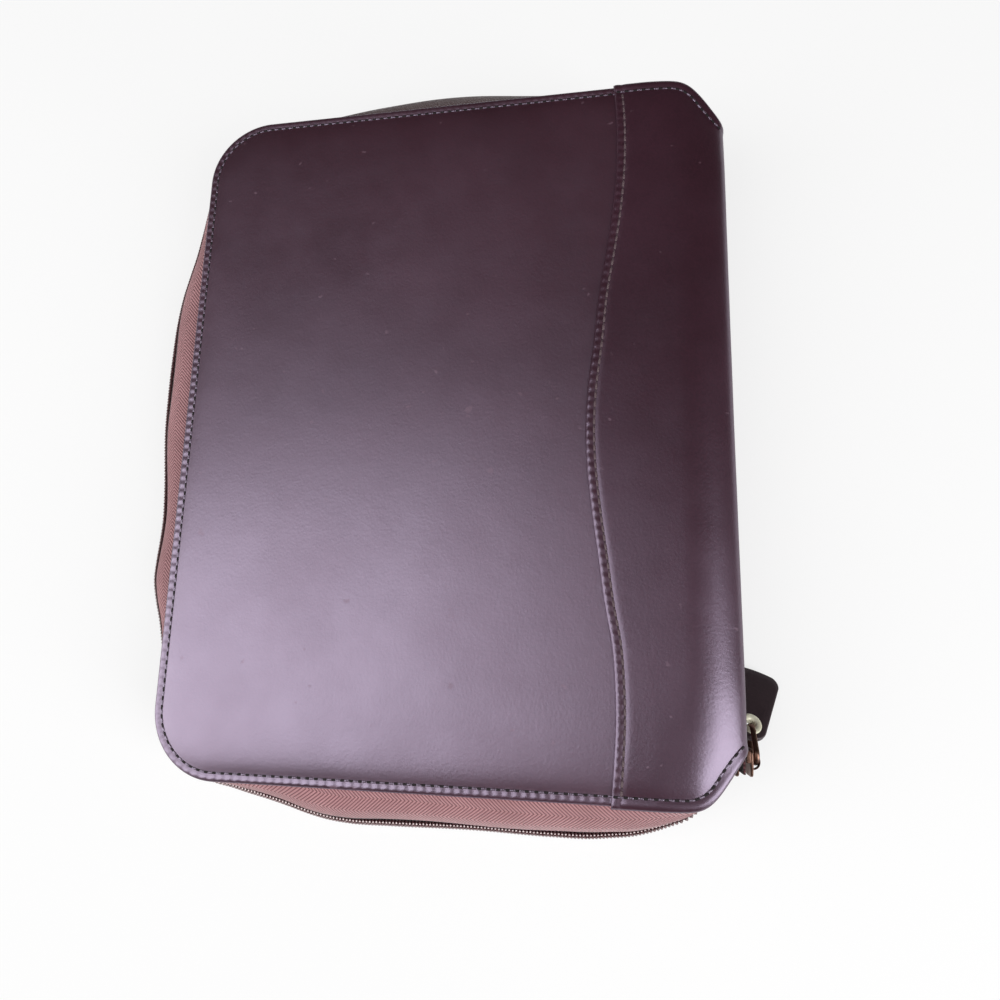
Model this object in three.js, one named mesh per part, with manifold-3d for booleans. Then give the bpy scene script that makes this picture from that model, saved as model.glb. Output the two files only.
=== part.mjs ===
// Zippered ring planner, lying closed on its back cover. Millimetres, +Z up, spine towards +X.
// The origin is under the middle of the back cover, on the surface that it lies on.
import * as THREE from 'three';
import { mergeVertices } from 'three/addons/utils/BufferGeometryUtils.js';
import Module from 'manifold-3d';

const wasm = await Module();
wasm.setup();

// Overall size of the closed case
const coverHeight = 248;
const foreEdgeX = -97;
const spineHeight = 212;
const chamferRun = 12.5;
const foreEdgeThickness = 27;
const spineThickness = 43.5;
const cornerRadius = 24;
const chamferRadius = 7;

// Layers of a cover, from the outside in
const leatherT = 1.2;
const turnedEdgeT = 3.5;
const turnedEdgeWidth = 7;
const edgeRound = 1;
const liningT = 0.6;
const tapeT = 0.6;
const gap = 0.3;
const tapeAnchor = 5.5;
const tapeZ = turnedEdgeT + gap + tapeT / 2;
const liningZ = turnedEdgeT + 2 * gap + tapeT;
const coverT = liningZ + liningT;
const foamT = 1;
const overlayT = 1;
const pocketT = 0.6;
const liningInset = 1.5;

// Folds: the spine turns about the lower fold, the front cover about the upper one
const foldRadius = coverT / 2;
const spineBoardT = 2;
const foldX = -foreEdgeX;
const spineOuterX = foldX + foldRadius;
const wedgeAngle = Math.atan((spineThickness - foreEdgeThickness) / (foldX - foreEdgeX));
const lowerFoldZ = foldRadius;
const upperFoldZ = spineThickness - foldRadius / Math.cos(wedgeAngle);
const hingeEdgeX = foldX - foldRadius - gap;
const spineBoardX = spineOuterX - leatherT - gap - spineBoardT;
const spineInnerX = spineBoardX - gap - liningT;
const spineBoardMargin = 8;

// Ring mechanism, standing on the inside of the spine
const ringR = 12;
const wireR = 1.2;
const ringCount = 7;
const pageH = 216;
const ringPitch = pageH / (ringCount + 1);
const ringX = 78.6;
const ringZ = (coverT + upperFoldZ - foldRadius - (foldX - ringX) * Math.tan(wedgeAngle)) / 2;
const archHalfWidth = 11.5;
const archHeight = 6.3;
const archT = 0.9;
const archEndMargin = 8;
const archLength = spineHeight - 2 * archEndMargin;
const hingePlateT = 0.8;
const hingePlateHalfWidth = 9.8;
const hingePlateLift = 1.6;
const legSlotPlay = 1.1;
const legSlotDepth = 1.2;
const legAngle = THREE.MathUtils.degToRad(36);
const leverSlot = 8;
const leverW = 11;
const leverT = 1;
const leverTip = 12;
const leverBend = 5.4;
const leverBendRise = 0.6;
const leverRise = 3;
const leverSeat = 3.4;
const leverStart = (archLength - leverSlot) / 2 + gap;
const rivetY = ((ringCount - 1) * ringPitch / 2 + leverStart) / 2;
const rivetHeadR = 2.2;
const rivetShankR = 1.1;
const rivetHeadT = 0.7;

// Pages: half-letter sheets, 140 mm wide, which reach from the rings to near the pen loop
const penLoop = { x: -80, y: 20, length: 38, wide: 5, high: 3.5, t: 0.7 };
const pageClearance = 6.9;
const pageHoleR = 3.5;
const pageHoleMargin = 6;
const pageW = ringX - ringR + pageHoleMargin - (penLoop.x + penLoop.wide + penLoop.t + pageClearance);
const frontBlock = [4.2, 8.7];
const backBlock = [-8.7, -5.2];
const dividerT = 0.5;
const dividerGap = 0.4;
const dividerExtra = 9;
const tabHeight = 46;
const frontTabY = 60;
const backTabY = -20;
const tabDepth = 7;
const backPageTilt = THREE.MathUtils.degToRad(2.3);

// Zip: two tapes sewn under the covers' edges, bulging out to a coil chain at mid thickness
const bulgeBottom = 12.5;
const bulgeSide = 12;
const bulgeTop = 10.5;
const tuck = -1.5;
const coilW = 2.4;
const coilH = 2.6;
const chainGap = 0.3;
const tapeEndX = 90.5;

// Slider at the spine's lower end, with its link and leather tab
const slider = { x: 101.5, z: 22, length: 8.8, width: 9, wingT: 0.9, opening: 3.4 };
const sliderClearance = 1.6;
const sliderTop = -spineHeight / 2 - sliderClearance;
const sliderY = sliderTop - slider.length / 2;
const sliderBottom = sliderTop - slider.length;
const sliderTaper = { end: 0.72, from: 0.4 };
const sliderNeck = { from: 2.6, to: 0.4 };
const sliderWall = { t: 0.8, length: 4.2, depth: 1.2, inset: 0.2 };
const neckHalf = 1;
const tailHalf = 8;
const bridgeH = 2.9;
const bridgeT = 0.7;
const bridgeW = 1.8;
const bridgeL = 5.4;
const linkSeat = -0.5;
const link = { wireR: 0.55, half: 3.2, length: 12.7, slope: 30, play: 0.15 };
const tab = { near: 5, nearCorner: 4.75, far: 8.5, length: 21, t: 2.2, corner: 3, drop: 35, heading: 70.3 };
const eyelet = { r: 3.6, hole: 1.75, wall: 0.6, rise: 0.4 };
const tailPast = 1.5;
const tailStart = 3.5;

// Pockets inside the covers
const pocketLeft = -72;
const pocketRight = 44;
const pocketHeights = [196, 132, 96];
const pocketCornerR = 4;
const root = new THREE.Group();

// Materials
const material = (color, roughness, metalness = 0) =>
  new THREE.MeshStandardMaterial({ color, roughness, metalness });
const plumLeather = material(0x4c3543, 0.38);
const panelLeather = material(0x49323f, 0.38);
const board = material(0x9c8f80, 0.9);
const foam = material(0xd8d2c4, 0.95);
const liningCloth = material(0x3a2c33, 0.85);
const roseTape = material(0xa97a80, 0.85);
const coilNylon = material(0x3a2324, 0.35);
const steel = material(0xc4c6c8, 0.25, 1);
const paper = material(0xf3efe4, 0.9);
const card = material(0xd9c9a6, 0.85);
const copper = material(0x5f4638, 0.4, 1);
const darkLeather = material(0x2f2629, 0.55);
const paleMetal = material(0xe6dfc4, 0.35, 1);

function add(parent, name, geometry, mat) {
  const mesh = new THREE.Mesh(geometry, mat);
  mesh.name = name;
  parent.add(mesh);
  return mesh;
}

// A closed solid from loops of equal point count, with flat ends
function loft(loops, endShape = null) {
  const n = loops[0].length;
  const position = loops.flat().flatMap((p) => [p.x, p.y, p.z]);
  const index = [];
  for (let k = 0; k + 1 < loops.length; k++) {
    for (let i = 0; i < n; i++) {
      const a = k * n + i;
      const b = k * n + (i + 1) % n;
      index.push(a, b, b + n, a, b + n, a + n);
    }
  }
  const flat = endShape ?? loops[0].map((p) => new THREE.Vector2(p.x, p.y));
  const last = (loops.length - 1) * n;
  const turned = THREE.ShapeUtils.isClockWise(flat);
  for (const [a, p, q] of THREE.ShapeUtils.triangulateShape(flat, [])) {
    const [b, c] = turned ? [q, p] : [p, q];
    index.push(a, c, b);
    index.push(last + a, last + b, last + c);
  }
  const geometry = new THREE.BufferGeometry();
  geometry.setAttribute('position', new THREE.Float32BufferAttribute(position, 3));
  geometry.setIndex(index);
  return geometry;
}

function solid(geometry) {
  let g = geometry.clone();
  g.deleteAttribute('normal');
  g.deleteAttribute('uv');
  g = mergeVertices(g, 1e-4);
  const mesh = new wasm.Mesh({
    numProp: 3,
    vertProperties: new Float32Array(g.attributes.position.array),
    triVerts: new Uint32Array(g.index.array),
  });
  mesh.merge();
  return new wasm.Manifold(mesh);
}

function toGeometry(body) {
  const mesh = body.getMesh();
  const g = new THREE.BufferGeometry();
  g.setAttribute('position', new THREE.Float32BufferAttribute(mesh.vertProperties, 3));
  g.setIndex([...mesh.triVerts]);
  return g;
}

const cut = (body, ...tools) =>
  toGeometry(tools.reduce((s, t) => s.subtract(solid(t)), solid(body)));
const join = (...parts) =>
  toGeometry(parts.slice(1).reduce((s, p) => s.add(solid(p)), solid(parts[0])));

function box(x0, x1, y0, y1, z0, z1) {
  const g = new THREE.BoxGeometry(x1 - x0, y1 - y0, z1 - z0);
  return g.translate((x0 + x1) / 2, (y0 + y1) / 2, (z0 + z1) / 2);
}

function rod(radius, length, sides, axis) {
  const g = new THREE.CylinderGeometry(radius, radius, length, sides);
  if (axis === 'x') g.rotateZ(Math.PI / 2);
  if (axis === 'z') g.rotateX(Math.PI / 2);
  return g;
}

// Polygon corners rounded by arcs, counter-clockwise; each corner is [x, y, radius, steps]
function rounded(corners) {
  const points = [];
  const n = corners.length;
  for (let i = 0; i < n; i++) {
    const [x, y, r, steps] = corners[i];
    const p = new THREE.Vector2(x, y);
    const prev = new THREE.Vector2(...corners[(i + n - 1) % n].slice(0, 2)).sub(p).normalize();
    const next = new THREE.Vector2(...corners[(i + 1) % n].slice(0, 2)).sub(p).normalize();
    if (!steps) {
      points.push(p);
      continue;
    }
    const half = prev.angleTo(next) / 2;
    const centre = p.clone().add(prev.clone().add(next).normalize().multiplyScalar(r / Math.sin(half)));
    const start = p.clone().add(prev.clone().multiplyScalar(r / Math.tan(half))).sub(centre);
    const sweep = Math.PI - 2 * half;
    for (let k = 0; k <= steps; k++) {
      points.push(start.clone().rotateAround(new THREE.Vector2(), sweep * k / steps).add(centre));
    }
  }
  return points;
}

// Plan outline of a cover: two round corners at the fore-edge, two chamfered ones at the spine
const halfH = coverHeight / 2;
const spineHalf = spineHeight / 2;
const chamferLength = Math.hypot(chamferRun, halfH - spineHalf);
const chamferSlope = (halfH - spineHalf) / chamferRun;
function outline(inset = 0, right = hingeEdgeX) {
  const shift = inset * (chamferLength - chamferRun) / (halfH - spineHalf);
  const bx = foldX - chamferRun - shift;
  const chamferY = halfH - inset - (right - bx) * chamferSlope;
  const r = cornerRadius - inset;
  const rc = chamferRadius - Math.min(inset, chamferRadius - 1);
  return rounded([
    [foreEdgeX + inset, -halfH + inset, r, 6],
    [bx, -halfH + inset, rc, 3],
    [right, -chamferY, 0, 0],
    [right, chamferY, 0, 0],
    [bx, halfH - inset, rc, 3],
    [foreEdgeX + inset, halfH - inset, r, 6],
  ]);
}

const at = (points, z) => points.map((p) => new THREE.Vector3(p.x, p.y, z));
// Turns a closed mesh's faces outwards if its volume comes out negative
function outward(geometry) {
  const p = geometry.attributes.position;
  const index = geometry.index.array;
  const [a, b, c] = [new THREE.Vector3(), new THREE.Vector3(), new THREE.Vector3()];
  let volume = 0;
  for (let i = 0; i < index.length; i += 3) {
    a.fromBufferAttribute(p, index[i]);
    b.fromBufferAttribute(p, index[i + 1]);
    c.fromBufferAttribute(p, index[i + 2]);
    volume += a.dot(b.cross(c));
  }
  return volume < 0 ? faceOut(geometry) : geometry;
}
const plate = (points, z0, z1) => loft([at(points, z0), at(points, z1)]);

// Leather of one cover: a skin with a rounded rim and a thick turned edge, outside at z = 0
function coverLeather() {
  const body = loft([
    at(outline(edgeRound), 0),
    at(outline(edgeRound * 0.3), edgeRound * 0.3),
    at(outline(0), edgeRound),
    at(outline(0), turnedEdgeT),
  ]);
  return cut(body, plate(outline(turnedEdgeWidth, hingeEdgeX + 1), leatherT, turnedEdgeT + 1));
}

const boardOutline = () => outline(turnedEdgeWidth + gap, hingeEdgeX - gap);

// Back cover, the body that lies on the table
const back = new THREE.Group();
root.add(back);
add(back, 'back_leather', coverLeather(), plumLeather);
add(back, 'back_board', plate(boardOutline(), leatherT + gap, liningZ - gap), board);
add(back, 'back_lining', plate(outline(liningInset), liningZ, coverT), liningCloth);
const backPocket = rounded([
  [pocketLeft, -pageH / 2, pocketCornerR, 2],
  [pocketRight, -pageH / 2, pocketCornerR, 2],
  [pocketRight, pageH / 2, pocketCornerR, 2],
  [pocketLeft, pageH / 2, pocketCornerR, 2],
]);
add(back, 'back_pocket', plate(backPocket, coverT + gap, coverT + gap + pocketT), plumLeather);

// Front cover, modelled flat with its outside at the top, then turned down by the wedge angle
const front = new THREE.Group();
front.position.set(foldX, 0, upperFoldZ);
front.rotation.y = -wedgeAngle;
root.add(front);
const flip = (geometry) => geometry.translate(-foldX, 0, -foldRadius).scale(1, 1, -1);
function faceOut(geometry) {
  const index = geometry.index.array;
  for (let i = 0; i < index.length; i += 3) [index[i], index[i + 1]] = [index[i + 1], index[i]];
  return geometry;
}
const frontPiece = (name, geometry, mat) => add(front, name, faceOut(flip(geometry)), mat);

frontPiece('front_leather', coverLeather(), plumLeather);
frontPiece('front_foam', plate(boardOutline(), leatherT + gap, leatherT + gap + foamT), foam);
frontPiece('front_board', plate(boardOutline(), leatherT + 2 * gap + foamT, liningZ - gap), board);
frontPiece('front_lining', plate(outline(liningInset), liningZ, coverT), liningCloth);

// The spine panel's S-shaped turned edge, lying over the front leather: x, and the share of half
// the height at which it is reached
const seam = [
  [59.5, 1], [60.3, 0.887], [60.2, 0.726], [58.4, 0.581], [54.6, 0.387], [51.6, 0.177], [49.4, 0],
  [49.4, -0.129], [52, -0.306], [55.2, -0.516], [57.8, -0.661], [58.5, -0.79], [57.8, -0.903], [57, -1],
];
const overlayInset = 0.6;
function overlayOutline() {
  const rim = outline(overlayInset).filter((p) => p.x > foldX - chamferRun - chamferRadius - 1);
  const reach = halfH - overlayInset;
  const curve = new THREE.CatmullRomCurve3(seam.map(([x, y]) => new THREE.Vector3(x, y * reach, 0)));
  return [...rim, ...curve.getPoints(24).map((p) => new THREE.Vector2(p.x, p.y))];
}
frontPiece('front_overlay_panel', plate(overlayOutline(), -gap - overlayT, -gap), panelLeather);

// Card pockets, each one shorter and one layer further in
pocketHeights.forEach((height, i) => {
  const z0 = coverT + gap + i * (pocketT + gap);
  const shape = rounded([
    [pocketLeft, -pageH / 2, pocketCornerR, 2],
    [pocketRight, -pageH / 2, pocketCornerR, 2],
    [pocketRight, height - pageH / 2, pocketCornerR, 2],
    [pocketLeft, height - pageH / 2, pocketCornerR, 2],
  ]);
  frontPiece(`front_pocket_${i + 1}`, plate(shape, z0, z0 + pocketT), plumLeather);
});

// Pen loop: a flattened tube of elastic sewn to the lining
function penLoopBody() {
  const { wide, high, t } = penLoop;
  const z = coverT + gap + t + high;
  const ellipse = (rx, rz) => Array.from({ length: 16 }, (_, k) => {
    const a = 2 * Math.PI * k / 16;
    return new THREE.Vector2(penLoop.x + rx * Math.cos(a), z + rz * Math.sin(a));
  });
  const shape = new THREE.Shape(ellipse(wide + t, high + t));
  shape.holes.push(new THREE.Path(ellipse(wide, high)));
  const g = new THREE.ExtrudeGeometry(shape, { depth: penLoop.length, bevelEnabled: false });
  return g.rotateX(Math.PI / 2).translate(0, penLoop.y + penLoop.length / 2, 0);
}
frontPiece('pen_loop', toGeometry(solid(penLoopBody())), liningCloth);

// Zip path: stations along the cover's edge, from the lower chamfer round to the upper one
const zipStep = 9;
function stations() {
  const edge = outline(0, tapeEndX);
  const firstRight = edge.findIndex((p) => p.x > tapeEndX - 1e-6);
  const path = [
    ...edge.slice(0, firstRight + 1).reverse(),
    ...edge.slice(firstRight + 1).reverse(),
  ];
  const points = [path[0]];
  for (let i = 1; i < path.length; i++) {
    const parts = Math.ceil(path[i].distanceTo(path[i - 1]) / zipStep);
    for (let k = 1; k <= parts; k++) points.push(path[i - 1].clone().lerp(path[i], k / parts));
  }
  return points.map((p, i) => {
    const before = points[Math.max(i - 1, 0)];
    const after = points[Math.min(i + 1, points.length - 1)];
    const along = after.clone().sub(before).normalize();
    const n = new THREE.Vector2(-along.y, along.x);
    return { x: p.x, y: p.y, n, bulge: tuck + bulgeAt(p, n) };
  });
}

// How far the coil stands outside the edge: full along each side, nothing at the corners
function bulgeAt(p, n) {
  const rise = THREE.MathUtils.smoothstep;
  if (n.y < -0.99) return (bulgeBottom - tuck) * rise(p.x, -78, -30) * (1 - rise(p.x, 50, 80));
  if (n.y > 0.99) return (bulgeTop - tuck) * rise(p.x, -76, -24) * (1 - rise(p.x, 40, 78));
  if (n.x < -0.99) return (bulgeSide - tuck) * rise(p.y, -92, -44) * (1 - rise(p.y, 30, 92));
  return 0;
}

// Heights above the table of the upper tape's seam and of the middle of the chain
const tanWedge = Math.tan(wedgeAngle);
const seamDrop = (tapeZ - foldRadius) / Math.cos(wedgeAngle);
const upperSeamZ = (x) => upperFoldZ - (foldX - x) * tanWedge - seamDrop;
const chainZ = (x) => (tapeZ + upperSeamZ(x)) / 2;
const coverShift = (foldX - foreEdgeX) * (1 - Math.cos(wedgeAngle));

function sweepSection(section) {
  const list = stations();
  const loops = list.map((s) => section(s).map(
    ([o, z]) => new THREE.Vector3(s.x + s.n.x * o, s.y + s.n.y * o, z)));
  const ends = section(list[0]).map(([o, z]) => new THREE.Vector2(o, z));
  return outward(loft(loops, ends));
}

// A tape's section: flat between the cover's layers, then bending out and towards the chain
function tapeSection(upper) {
  const side = upper ? -1 : 1;
  return (s) => {
    const seamZ = (o) => (upper ? upperSeamZ(s.x + s.n.x * o) : tapeZ);
    const shift = upper ? -coverShift * s.n.x * s.n.x : 0;
    const end = s.bulge - gap - tapeT / 2;
    const endZ = chainZ(s.x) - side * chainGap / 2;
    const startO = gap + shift;
    const startZ = seamZ(startO);
    const coilEdge = endZ - side * (coilH + 2 * gap);
    const curve = new THREE.QuadraticBezierCurve(
      new THREE.Vector2(startO, startZ),
      new THREE.Vector2(Math.max(end, startO), startZ + (coilEdge - startZ) * 0.35),
      new THREE.Vector2(end, coilEdge));
    const inner = new THREE.Vector2(shift - tapeAnchor, seamZ(shift - tapeAnchor));
    const line = [inner, ...curve.getPoints(4), new THREE.Vector2(end, endZ)];
    const offset = (sign) => line.map((p, i) => {
      const after = line[Math.min(i + 1, line.length - 1)];
      const t = after.clone().sub(line[Math.max(i - 1, 0)]).normalize();
      return [p.x - sign * t.y * tapeT / 2, p.y + sign * t.x * tapeT / 2];
    });
    return [...offset(-1), ...offset(1).reverse()];
  };
}

// One row of the coil, a bar with rounded outer corners
function coilSection(upper) {
  const side = upper ? 1 : -1;
  return (s) => {
    const near = chainZ(s.x) + side * chainGap / 2;
    const far = near + side * coilH;
    const o = s.bulge;
    const bevel = coilW * 0.3;
    return [
      [o, near], [o + coilW - bevel, near], [o + coilW, near + side * bevel],
      [o + coilW, far - side * bevel], [o + coilW - bevel, far], [o, far],
    ];
  };
}

add(root, 'lower_zip_tape', sweepSection(tapeSection(false)), roseTape);
add(root, 'lower_zip_coil', sweepSection(coilSection(false)), coilNylon);
add(root, 'upper_zip_tape', sweepSection(tapeSection(true)), roseTape);
add(root, 'upper_zip_coil', sweepSection(coilSection(true)), coilNylon);

// Spine: leather with a round fold along each long edge, a board and a lining
const rivetYs = [-rivetY, rivetY];
function spineLeather() {
  const skin = box(spineOuterX - leatherT, spineOuterX, -spineHalf, spineHalf, lowerFoldZ, upperFoldZ);
  const folds = [lowerFoldZ, upperFoldZ].map(
    (z) => rod(foldRadius, 2 * spineHalf, 24, 'y').translate(foldX, 0, z));
  return join(skin, ...folds);
}
const boardEnd = spineHalf - spineBoardMargin;
const boardLow = lowerFoldZ + foldRadius + gap;
const boardHigh = upperFoldZ - foldRadius - gap;
const rivetHoles = () => rivetYs.map(
  (y) => rod(rivetShankR + gap, 6 * archHeight, 16, 'x').translate(spineInnerX, y, ringZ));
add(root, 'spine_leather', spineLeather(), plumLeather);
add(root, 'spine_board', cut(box(spineBoardX, spineBoardX + spineBoardT, -boardEnd, boardEnd,
  boardLow, boardHigh), ...rivetHoles()), board);
add(root, 'spine_lining', cut(box(spineInnerX, spineInnerX + liningT, gap - spineHalf, spineHalf - gap,
  boardLow, boardHigh), ...rivetHoles()), liningCloth);

// Ring base: an arched steel cover over two toggling hinge plates
const archFoot = spineInnerX - gap;
const archTop = archFoot - archHeight;
const ringYs = Array.from({ length: ringCount }, (_, i) => (i - (ringCount - 1) / 2) * ringPitch);
const legZ = ringR * Math.sin(legAngle);
function archCover() {
  const half = archLength / 2;
  const arc = (height, width) => Array.from({ length: 13 }, (_, k) => {
    const t = Math.PI * k / 12;
    return [archFoot - height * Math.sin(t), ringZ - width * Math.cos(t)];
  });
  const section = [
    ...arc(archHeight, archHalfWidth),
    ...arc(archHeight - archT, archHalfWidth - archT).reverse(),
  ];
  const loop = (y) => section.map(([x, z]) => new THREE.Vector3(x, y, z));
  return outward(loft([loop(-half), loop(half)], section.map(([x, z]) => new THREE.Vector2(x, z))));
}
const slotW = 2 * (wireR + legSlotPlay);
const slots = ringYs.flatMap((y) => [-1, 1].map((side) => box(
  archTop - 1, archFoot - legSlotDepth, y - slotW / 2, y + slotW / 2,
  ringZ + side * legZ - slotW / 2, ringZ + side * legZ + slotW / 2)));
const leverSlots = [-1, 1].map((side) => box(archTop - 1, archFoot + 1, -leverSlot / 2, leverSlot / 2,
  ringZ - leverW / 2 - 2 * gap, ringZ + leverW / 2 + 2 * gap).translate(0, side * archLength / 2, 0));
add(root, 'ring_base', cut(archCover(), ...slots, ...rivetHoles(), ...leverSlots), steel);

// Two rivets hold the base to the spine board
const rivetEnd = spineBoardX + spineBoardT - gap;
rivetYs.forEach((y, i) => {
  const headX = archTop - gap;
  const shank = rod(rivetShankR, rivetEnd - headX, 12, 'x').translate((rivetEnd + headX) / 2, y, ringZ);
  const head = rod(rivetHeadR, rivetHeadT, 16, 'x').translate(headX - rivetHeadT / 2, y, ringZ);
  add(root, `base_rivet_${i + 1}`, join(shank, head), steel);
});

// Ring halves: an arc from the split at the far side to a straight leg into the base
const plateX = archFoot - hingePlateLift;
function ringHalf(y, side) {
  const points = [];
  const steps = 9;
  for (let k = 0; k <= steps; k++) {
    const a = THREE.MathUtils.lerp(Math.PI, legAngle, k / steps);
    points.push(new THREE.Vector3(ringX + ringR * Math.cos(a), y, ringZ + side * ringR * Math.sin(a)));
  }
  points.push(new THREE.Vector3(plateX - gap, y, ringZ + side * legZ));
  const loops = points.map((p, i) => {
    const before = points[Math.max(i - 1, 0)];
    const t = points[Math.min(i + 1, points.length - 1)].clone().sub(before).normalize();
    if (i === 0) t.set(0, 0, 1);
    if (i === points.length - 1) t.set(1, 0, 0);
    const across = new THREE.Vector3(0, 1, 0);
    const out = across.clone().cross(t);
    return Array.from({ length: 8 }, (_, k) => {
      const b = 2 * Math.PI * (k + 0.5) / 8;
      const v = p.clone().addScaledVector(across, wireR * Math.cos(b));
      return v.addScaledVector(out, wireR * Math.sin(b));
    });
  });
  const circle = Array.from({ length: 8 }, (_, k) => {
    const b = 2 * Math.PI * (k + 0.5) / 8;
    return new THREE.Vector2(Math.cos(b), Math.sin(b));
  });
  return outward(loft(loops, circle).translate(0, 0, side * chainGap / 2));
}
for (const [word, side] of [['upper', 1], ['lower', -1]]) {
  ringYs.forEach((y, i) => add(root, `ring_${i + 1}_${word}`, ringHalf(y, side), steel));
  const z = [side * gap, side * hingePlateHalfWidth].sort((a, b) => a - b);
  const plateBody = box(plateX, plateX + hingePlateT, leverSlot - archLength / 2, archLength / 2 - leverSlot,
    ringZ + z[0], ringZ + z[1]);
  add(root, `hinge_plate_${word}`, cut(plateBody, ...rivetHoles()), steel);
}

// A lever at each end of the base, bent up from it
[['bottom', -1], ['top', 1]].forEach(([word, side]) => {
  const xFloor = archFoot - leverSeat;
  const line = [[0, 0], [leverBend, leverBendRise], [leverTip, leverRise]];
  const up = line.map(([y, x]) => [xFloor - x, side * (leverStart + y)]);
  const down = line.map(([y, x]) => [xFloor - x + leverT, side * (leverStart + y)]).reverse();
  const section = [...up, ...down];
  const loop = (z) => section.map(([x, y]) => new THREE.Vector3(x, y, z));
  const flat = section.map(([x, y]) => new THREE.Vector2(x, y));
  const body = loft([loop(ringZ - leverW / 2), loop(ringZ + leverW / 2)], flat);
  add(root, `lever_${word}`, outward(body), steel);
});

// Pages and dividers hang on the rings, so their holes follow the ring's circle
const holeX = (z) => -Math.sqrt(ringR ** 2 - z ** 2);
function sheetBlock(z0, z1, extra, holeR) {
  const levels = [z0, (z0 + z1) / 2, z1];
  const right = (z) => holeX(z) + pageHoleMargin;
  const left = (z) => right(z) - pageW - extra;
  const loops = levels.map((z) => [
    new THREE.Vector3(left(z), -pageH / 2, z), new THREE.Vector3(right(z), -pageH / 2, z),
    new THREE.Vector3(right(z), pageH / 2, z), new THREE.Vector3(left(z), pageH / 2, z),
  ]);
  const wide = [z0 - dividerT, ...levels.slice(1, -1), z1 + dividerT];
  const holes = ringYs.map((y) => loft(wide.map((z) => Array.from({ length: 12 }, (_, k) => {
    const b = 2 * Math.PI * k / 12;
    const onRing = holeX(THREE.MathUtils.clamp(z, z0, z1));
    return new THREE.Vector3(onRing + holeR * Math.cos(b), y + holeR * Math.sin(b), z);
  }))));
  return cut(loft(loops), ...holes);
}
function pageGroup(tilt) {
  const group = new THREE.Group();
  group.position.set(ringX, 0, ringZ);
  group.rotation.y = -tilt;
  root.add(group);
  return group;
}
function divider(z0, tabY) {
  const sheet = sheetBlock(z0, z0 + dividerT, dividerExtra - tabDepth, pageHoleR);
  const left = holeX(z0) + pageHoleMargin - pageW - dividerExtra;
  const [y0, y1] = [tabY - tabHeight / 2, tabY + tabHeight / 2];
  return join(sheet, box(left, left + 2 * tabDepth, y0, y1, z0, z0 + dividerT));
}
const frontPages = pageGroup(wedgeAngle);
add(frontPages, 'front_pages', sheetBlock(...frontBlock, 0, pageHoleR), paper);
add(frontPages, 'front_divider', divider(frontBlock[0] - dividerGap - dividerT, frontTabY), card);
const backPages = pageGroup(backPageTilt);
add(backPages, 'back_pages', sheetBlock(...backBlock, 0, pageHoleR), paper);
add(backPages, 'back_divider', divider(backBlock[1] + dividerGap, backTabY), card);

// Tail of the zip at the spine's lower end: each half runs out of the spine and into the slider
const tailX = slider.x - slider.opening / 2 + gap + tapeT / 2;
const insideX = spineOuterX - leatherT - 2 * gap - tapeT / 2;
const tailSplit = neckHalf + gap;
function tailTape(side) {
  const line = [[insideX, -boardEnd - tailStart], [insideX, -spineHalf - gap],
    [tailX, sliderTop + gap], [tailX, sliderBottom + tailPast]];
  const points = line.map(([x, y]) => new THREE.Vector2(x, y));
  const offset = (sign) => points.map((p, i) => {
    const a = points[Math.max(i - 1, 0)];
    const b = points[Math.min(i + 1, points.length - 1)];
    const t = b.clone().sub(a).normalize();
    return new THREE.Vector2(p.x - sign * t.y * tapeT / 2, p.y + sign * t.x * tapeT / 2);
  });
  const section = [...offset(1), ...offset(-1).reverse()];
  const [z0, z1] = [side * tailSplit, side * tailHalf].sort((a, b) => a - b);
  return outward(plate(section, slider.z + z0, slider.z + z1));
}
for (const [word, side] of [['upper', 1], ['lower', -1]]) {
  add(root, `zip_tail_${word}`, tailTape(side), roseTape);
}

// Slider: two wings joined by a neck, with side walls, a bridge over the outer wing
function sliderBody() {
  const { x, z, length, width, wingT, opening } = slider;
  const half = width / 2;
  const shape = [
    [sliderBottom, -half * sliderTaper.end], [sliderBottom, half * sliderTaper.end],
    [sliderBottom + length * sliderTaper.from, half], [sliderTop, half],
    [sliderTop, -half], [sliderBottom + length * sliderTaper.from, -half],
  ];
  const flat = shape.map(([a, b]) => new THREE.Vector2(a, b));
  const wing = (xa, xb) => outward(loft(
    [xa, xb].map((px) => shape.map(([a, b]) => new THREE.Vector3(px, a, z + b))), flat));
  const inner = wing(x - opening / 2 - wingT, x - opening / 2);
  const outer = wing(x + opening / 2, x + opening / 2 + wingT);
  const [neckX0, outerX] = [x - opening / 2 - wingT / 2, x + opening / 2 + wingT / 2];
  const neck = box(neckX0, outerX, sliderTop - sliderNeck.from, sliderTop - sliderNeck.to,
    z - neckHalf, z + neckHalf);
  const wall = ([z0, z1]) => box(x + opening / 2 - sliderWall.depth, outerX,
    sliderTop - sliderWall.length, sliderTop - sliderWall.inset, z + z0, z + z1);
  const walls = [[half - sliderWall.t, half], [-half, sliderWall.t - half]];
  return join(inner, outer, neck, ...walls.map(wall));
}
add(root, 'slider_body', sliderBody(), copper);

// Bridge: a low staple over the outer wing that holds the link
const bridgeX = slider.x + slider.opening / 2 + slider.wingT + gap;
function bridge() {
  const outer = box(bridgeX, bridgeX + bridgeH, sliderY - bridgeL / 2, sliderY + bridgeL / 2,
    slider.z - bridgeW / 2, slider.z + bridgeW / 2);
  const open = box(bridgeX - 1, bridgeX + bridgeH - bridgeT, sliderY - bridgeL / 2 + bridgeT,
    sliderY + bridgeL / 2 - bridgeT, slider.z - bridgeW, slider.z + bridgeW);
  return cut(outer, open);
}
add(root, 'slider_bridge', bridge(), copper);

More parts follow.
